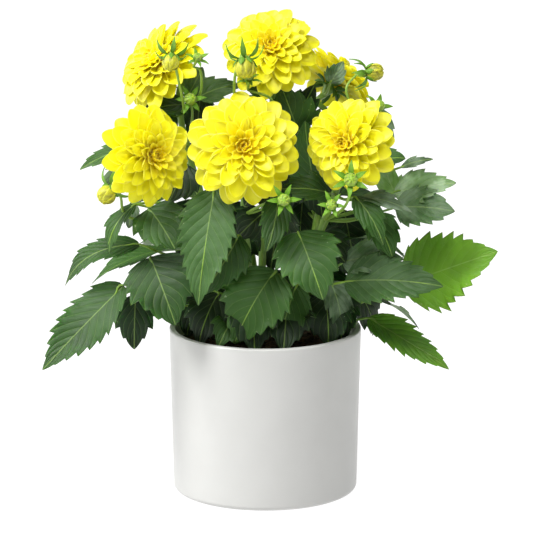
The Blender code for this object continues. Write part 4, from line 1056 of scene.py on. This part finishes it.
def add_ball(skin, foot, turned, radius, layers, draw, **marks):
    """Petals on a ball: at polar angle p from its foot and azimuth a + v * half(u), radius r(1 + 0.06v)."""
    v, face = across_loop(7)
    u = np.linspace(0.03, 0.97, ROWS)
    for count, reach, scale in layers:
        start = draw.uniform(0, 360)
        a = np.radians(start + 360 * np.arange(count) / count)[:, None, None]
        polar = np.radians(reach) * u[None, :, None] + 0 * a
        half = np.radians(WRAP / count) * np.sin(np.pi * u[None, :, None] ** 0.9) ** 0.7
        around = a + v * half + np.radians(SPIRAL) * u[None, :, None] ** 2
        out = radius * (scale + OVERLAP * v + PETAL_BODY * face * np.sqrt(np.clip(1.02 - v**2, 0, 1)))
        flat, high = out * np.sin(polar), radius * BALL_TALL - out * np.cos(polar) * BALL_TALL
        local = np.stack([flat * np.cos(around), flat * np.sin(around), high + 0 * around], -1)
        rings = local @ turned.T + foot
        skin.add(rings, rings[:, 0].mean(1), rings[:, -1].mean(1), blade_uv(u, v), across=np.abs(v),
                 along=u[:, None], **marks)
    p = np.radians(np.linspace(12, 168, ROWS))
    core = np.stack([CORE_SHARE * radius * np.sin(p), radius * BALL_TALL * (1 - CORE_SHARE * np.cos(p))], -1)
    rings = lathe_rings(core, CORE_ROUND) @ turned.T + foot
    skin.add(rings, rings[:, 0].mean(1), rings[:, -1].mean(1), ring_uv(ROWS, CORE_ROUND), across=0.5,
             along=np.linspace(0, 1, ROWS)[:, None], **marks)


def add_bracts(skin, origin, turned, count, foot, reach, rise, width, arch, curl, tone, draw):
    """Pointed green bracts in a whorl: narrow blades from a ring, thicker than a leaf, bent at the tip."""
    v, face = across_loop(7)
    u = np.linspace(0.02, 0.98, ROWS)
    azimuth = draw.uniform(0, 360) + 360 * np.arange(count) / count + draw.uniform(-5, 5, count)
    slope = rise + draw.uniform(-6, 6, count)
    base = direction(azimuth, 0 * azimuth) * foot
    rings, tips = blades(
        base @ turned.T + origin, direction(azimuth, slope) @ turned.T,
        direction(azimuth + 180, 90 - slope) @ turned.T, reach * draw.uniform(0.85, 1.15, count), width,
        bract_outline, u, v, face, arch=arch * reach, curl=curl * reach, cup=0.3, thickness=0.7)
    skin.add(rings, rings[:, 0].mean(1), tips, blade_uv(u, v), tone=tone, vein=0.5,
             from_rib=np.abs(v) * width / 2 + 0.3, under=0.0, wax=0.0)


def axes_of(looks):
    """A bud's own axes as columns: across, other, and the way it looks."""
    axis = direction(*looks)
    across = unit(np.cross((0.1, 0.2, 1), axis))
    return np.column_stack([across, np.cross(axis, across), axis])


# Bracts: how many, foot radius, reach, rise, width, arch, curl, as shares of the ball's radius and of the
# reach. The outer ones bend back under an older bud (first) and still reach up round a young one (second).
INNER_BRACTS = (6, 0.62, 1.18, 68, 0.75, -0.12, -0.05)
OUTER_BRACTS = ((6, 0.5, 2.0, -18, 0.62, 0.05, -0.5), (6, 0.5, 2.4, 24, 0.85, 0.05, -0.22))
BRACT_TONES = (0.85, 0.95)
BUD_STALK, BUD_NECK, BUD_CUP = (1.3, 0.85), 1.1, (0.42, 0.5)


def add_bud(stem, leaves, stalks, joint_height, passes, ball, looks, radius, young, draw):
    """The stalk and the bracts of a bud; the foot of its ball and its axes come back."""
    turned = axes_of(looks)
    axis = turned[:, 2]
    foot = np.array(ball, float) - axis * radius
    path = COARSE[stem]
    joint = path[np.abs(path[:, 2] - joint_height).argmin()]
    end = foot + axis * (1.0 if young else -SEAT_GAP)
    curve = smooth_path([joint, *passes, end - axis * NECK], 6)
    whole = np.vstack([curve, end - axis * NECK / 2, end - axis * 1.2, end])
    radii = [*np.linspace(*BUD_STALK, len(curve)), BUD_NECK, *(radius * np.array(BUD_CUP))]
    add_stalk(stalks, whole, radii, 12, ribs=0.04, tone=0.5)
    for count, foot_radius, reach, rise, width, *bend in (INNER_BRACTS, OUTER_BRACTS[young]):
        add_bracts(leaves, end, turned, count, foot_radius * radius, reach * radius, rise, width * radius,
                   *bend, BRACT_TONES[young], draw)
    return foot, turned


# %% [markdown]
# Now the green of each stem is gathered: the stem with its calyx, its leaves, and the stalks and bracts
# of its buds. The stem thickens a little where a leaf stalk leaves it, as a dahlia's does. Two objects
# stand for each green node, one of stalks and one of blades, because they differ in finish.

# %% The green of each stem
KNUCKLE, KNUCKLE_REACH = 0.6, 5.0
STEM_TOP, STEM_CUP = 1.9, (0.12, 0.17)
# The calyx: how many bracts, foot radius, reach, rise, width, arch, curl and tone, in shares of the bloom
CALYX = ((8, 0.14, 0.36, 8, 0.2, 0.08, 0.05, 0.7), (5, 0.12, 0.40, -38, 0.17, 0.08, -0.1, 0.6))


def add_stem(name, leaves, stalks, draw):
    """A stem along its curve, wider by a bell of 5 mm at every joint, and the calyx under its bloom."""
    knots, seat, axis = stem_knots(name)
    fine = smooth_path(knots, 14)
    low = fine[0] - (0, 0, ROOT_DEPTH + COLLAR)
    path = np.vstack([np.linspace(low, fine[0], 6)[:-1], fine, seat - axis * 3, seat])
    size, thick = BLOOMS[name]["radius"], STEMS[name]["radius"]
    radii = np.array([*[thick] * 5, *np.linspace(thick, STEM_TOP, len(fine)), *(size * np.array(STEM_CUP))])
    bases = [row[1] for row in LEAVES.values() if row[0] == name]
    joints = np.array([joint_on_stem(COARSE[name], np.array(base, float)) for base in bases])
    far = np.linalg.norm(path[:, None] - joints[None], axis=2).min(1)
    radii = radii + KNUCKLE * np.exp(-(far / KNUCKLE_REACH) ** 2)
    add_stalk(stalks, path, radii, 20, ribs=0.035, tone=0.28)
    origin, turned = bloom_frame(BLOOMS[name])
    under = origin + axis * (RECEPTACLE_LOW * size - SEAT_GAP - 0.6)
    for count, foot, reach, rise, width, *bend in CALYX:
        add_bracts(leaves, under, turned, count, foot * size, reach * size, rise, width * size, *bend, draw)


rows = [(label, *leaf) for label, leaf in LEAVES.items()]
rows += [(label, nearest_stem(base), base, *rest) for label, base, *rest in back_leaves()]
for stem_name in STEMS:
    draw = np.random.default_rng(SEED + ord(stem_name))
    leaves, stalks = Skin(), Skin()
    add_stem(stem_name, leaves, stalks, draw)
    for label, stem, *leaf in rows:
        if stem == stem_name:
            add_leaf(leaves, stalks, stem, label, *leaf, draw)
    for label, (stem, *bud) in YELLOW_BUDS.items():
        if stem == stem_name:
            foot, turned = add_bud(stem, leaves, stalks, *bud, False, draw)
            petals = Skin()
            add_ball(petals, foot, turned, bud[-1], PETAL_LAYERS, draw, heart=0.3)
            petals.build("petals_of_" + label, BUD_PETAL, "buds", label)
    green_balls = Skin()
    for label, (stem, *bud) in GREEN_BUDS.items():
        if stem == stem_name:
            foot, turned = add_bud(stem, leaves, stalks, *bud, True, draw)
            add_ball(green_balls, foot, turned, bud[-1], PETAL_LAYERS, draw, heart=0.0)
    leaves.build("leaves_" + stem_name, LEAF, "foliage", "stem_" + stem_name)
    stalks.build("stalks_" + stem_name, STALK, "foliage", "stem_" + stem_name)
    if green_balls.points:
        green_balls.build("young_buds_" + stem_name, YOUNG_PETAL, "foliage", "stem_" + stem_name)
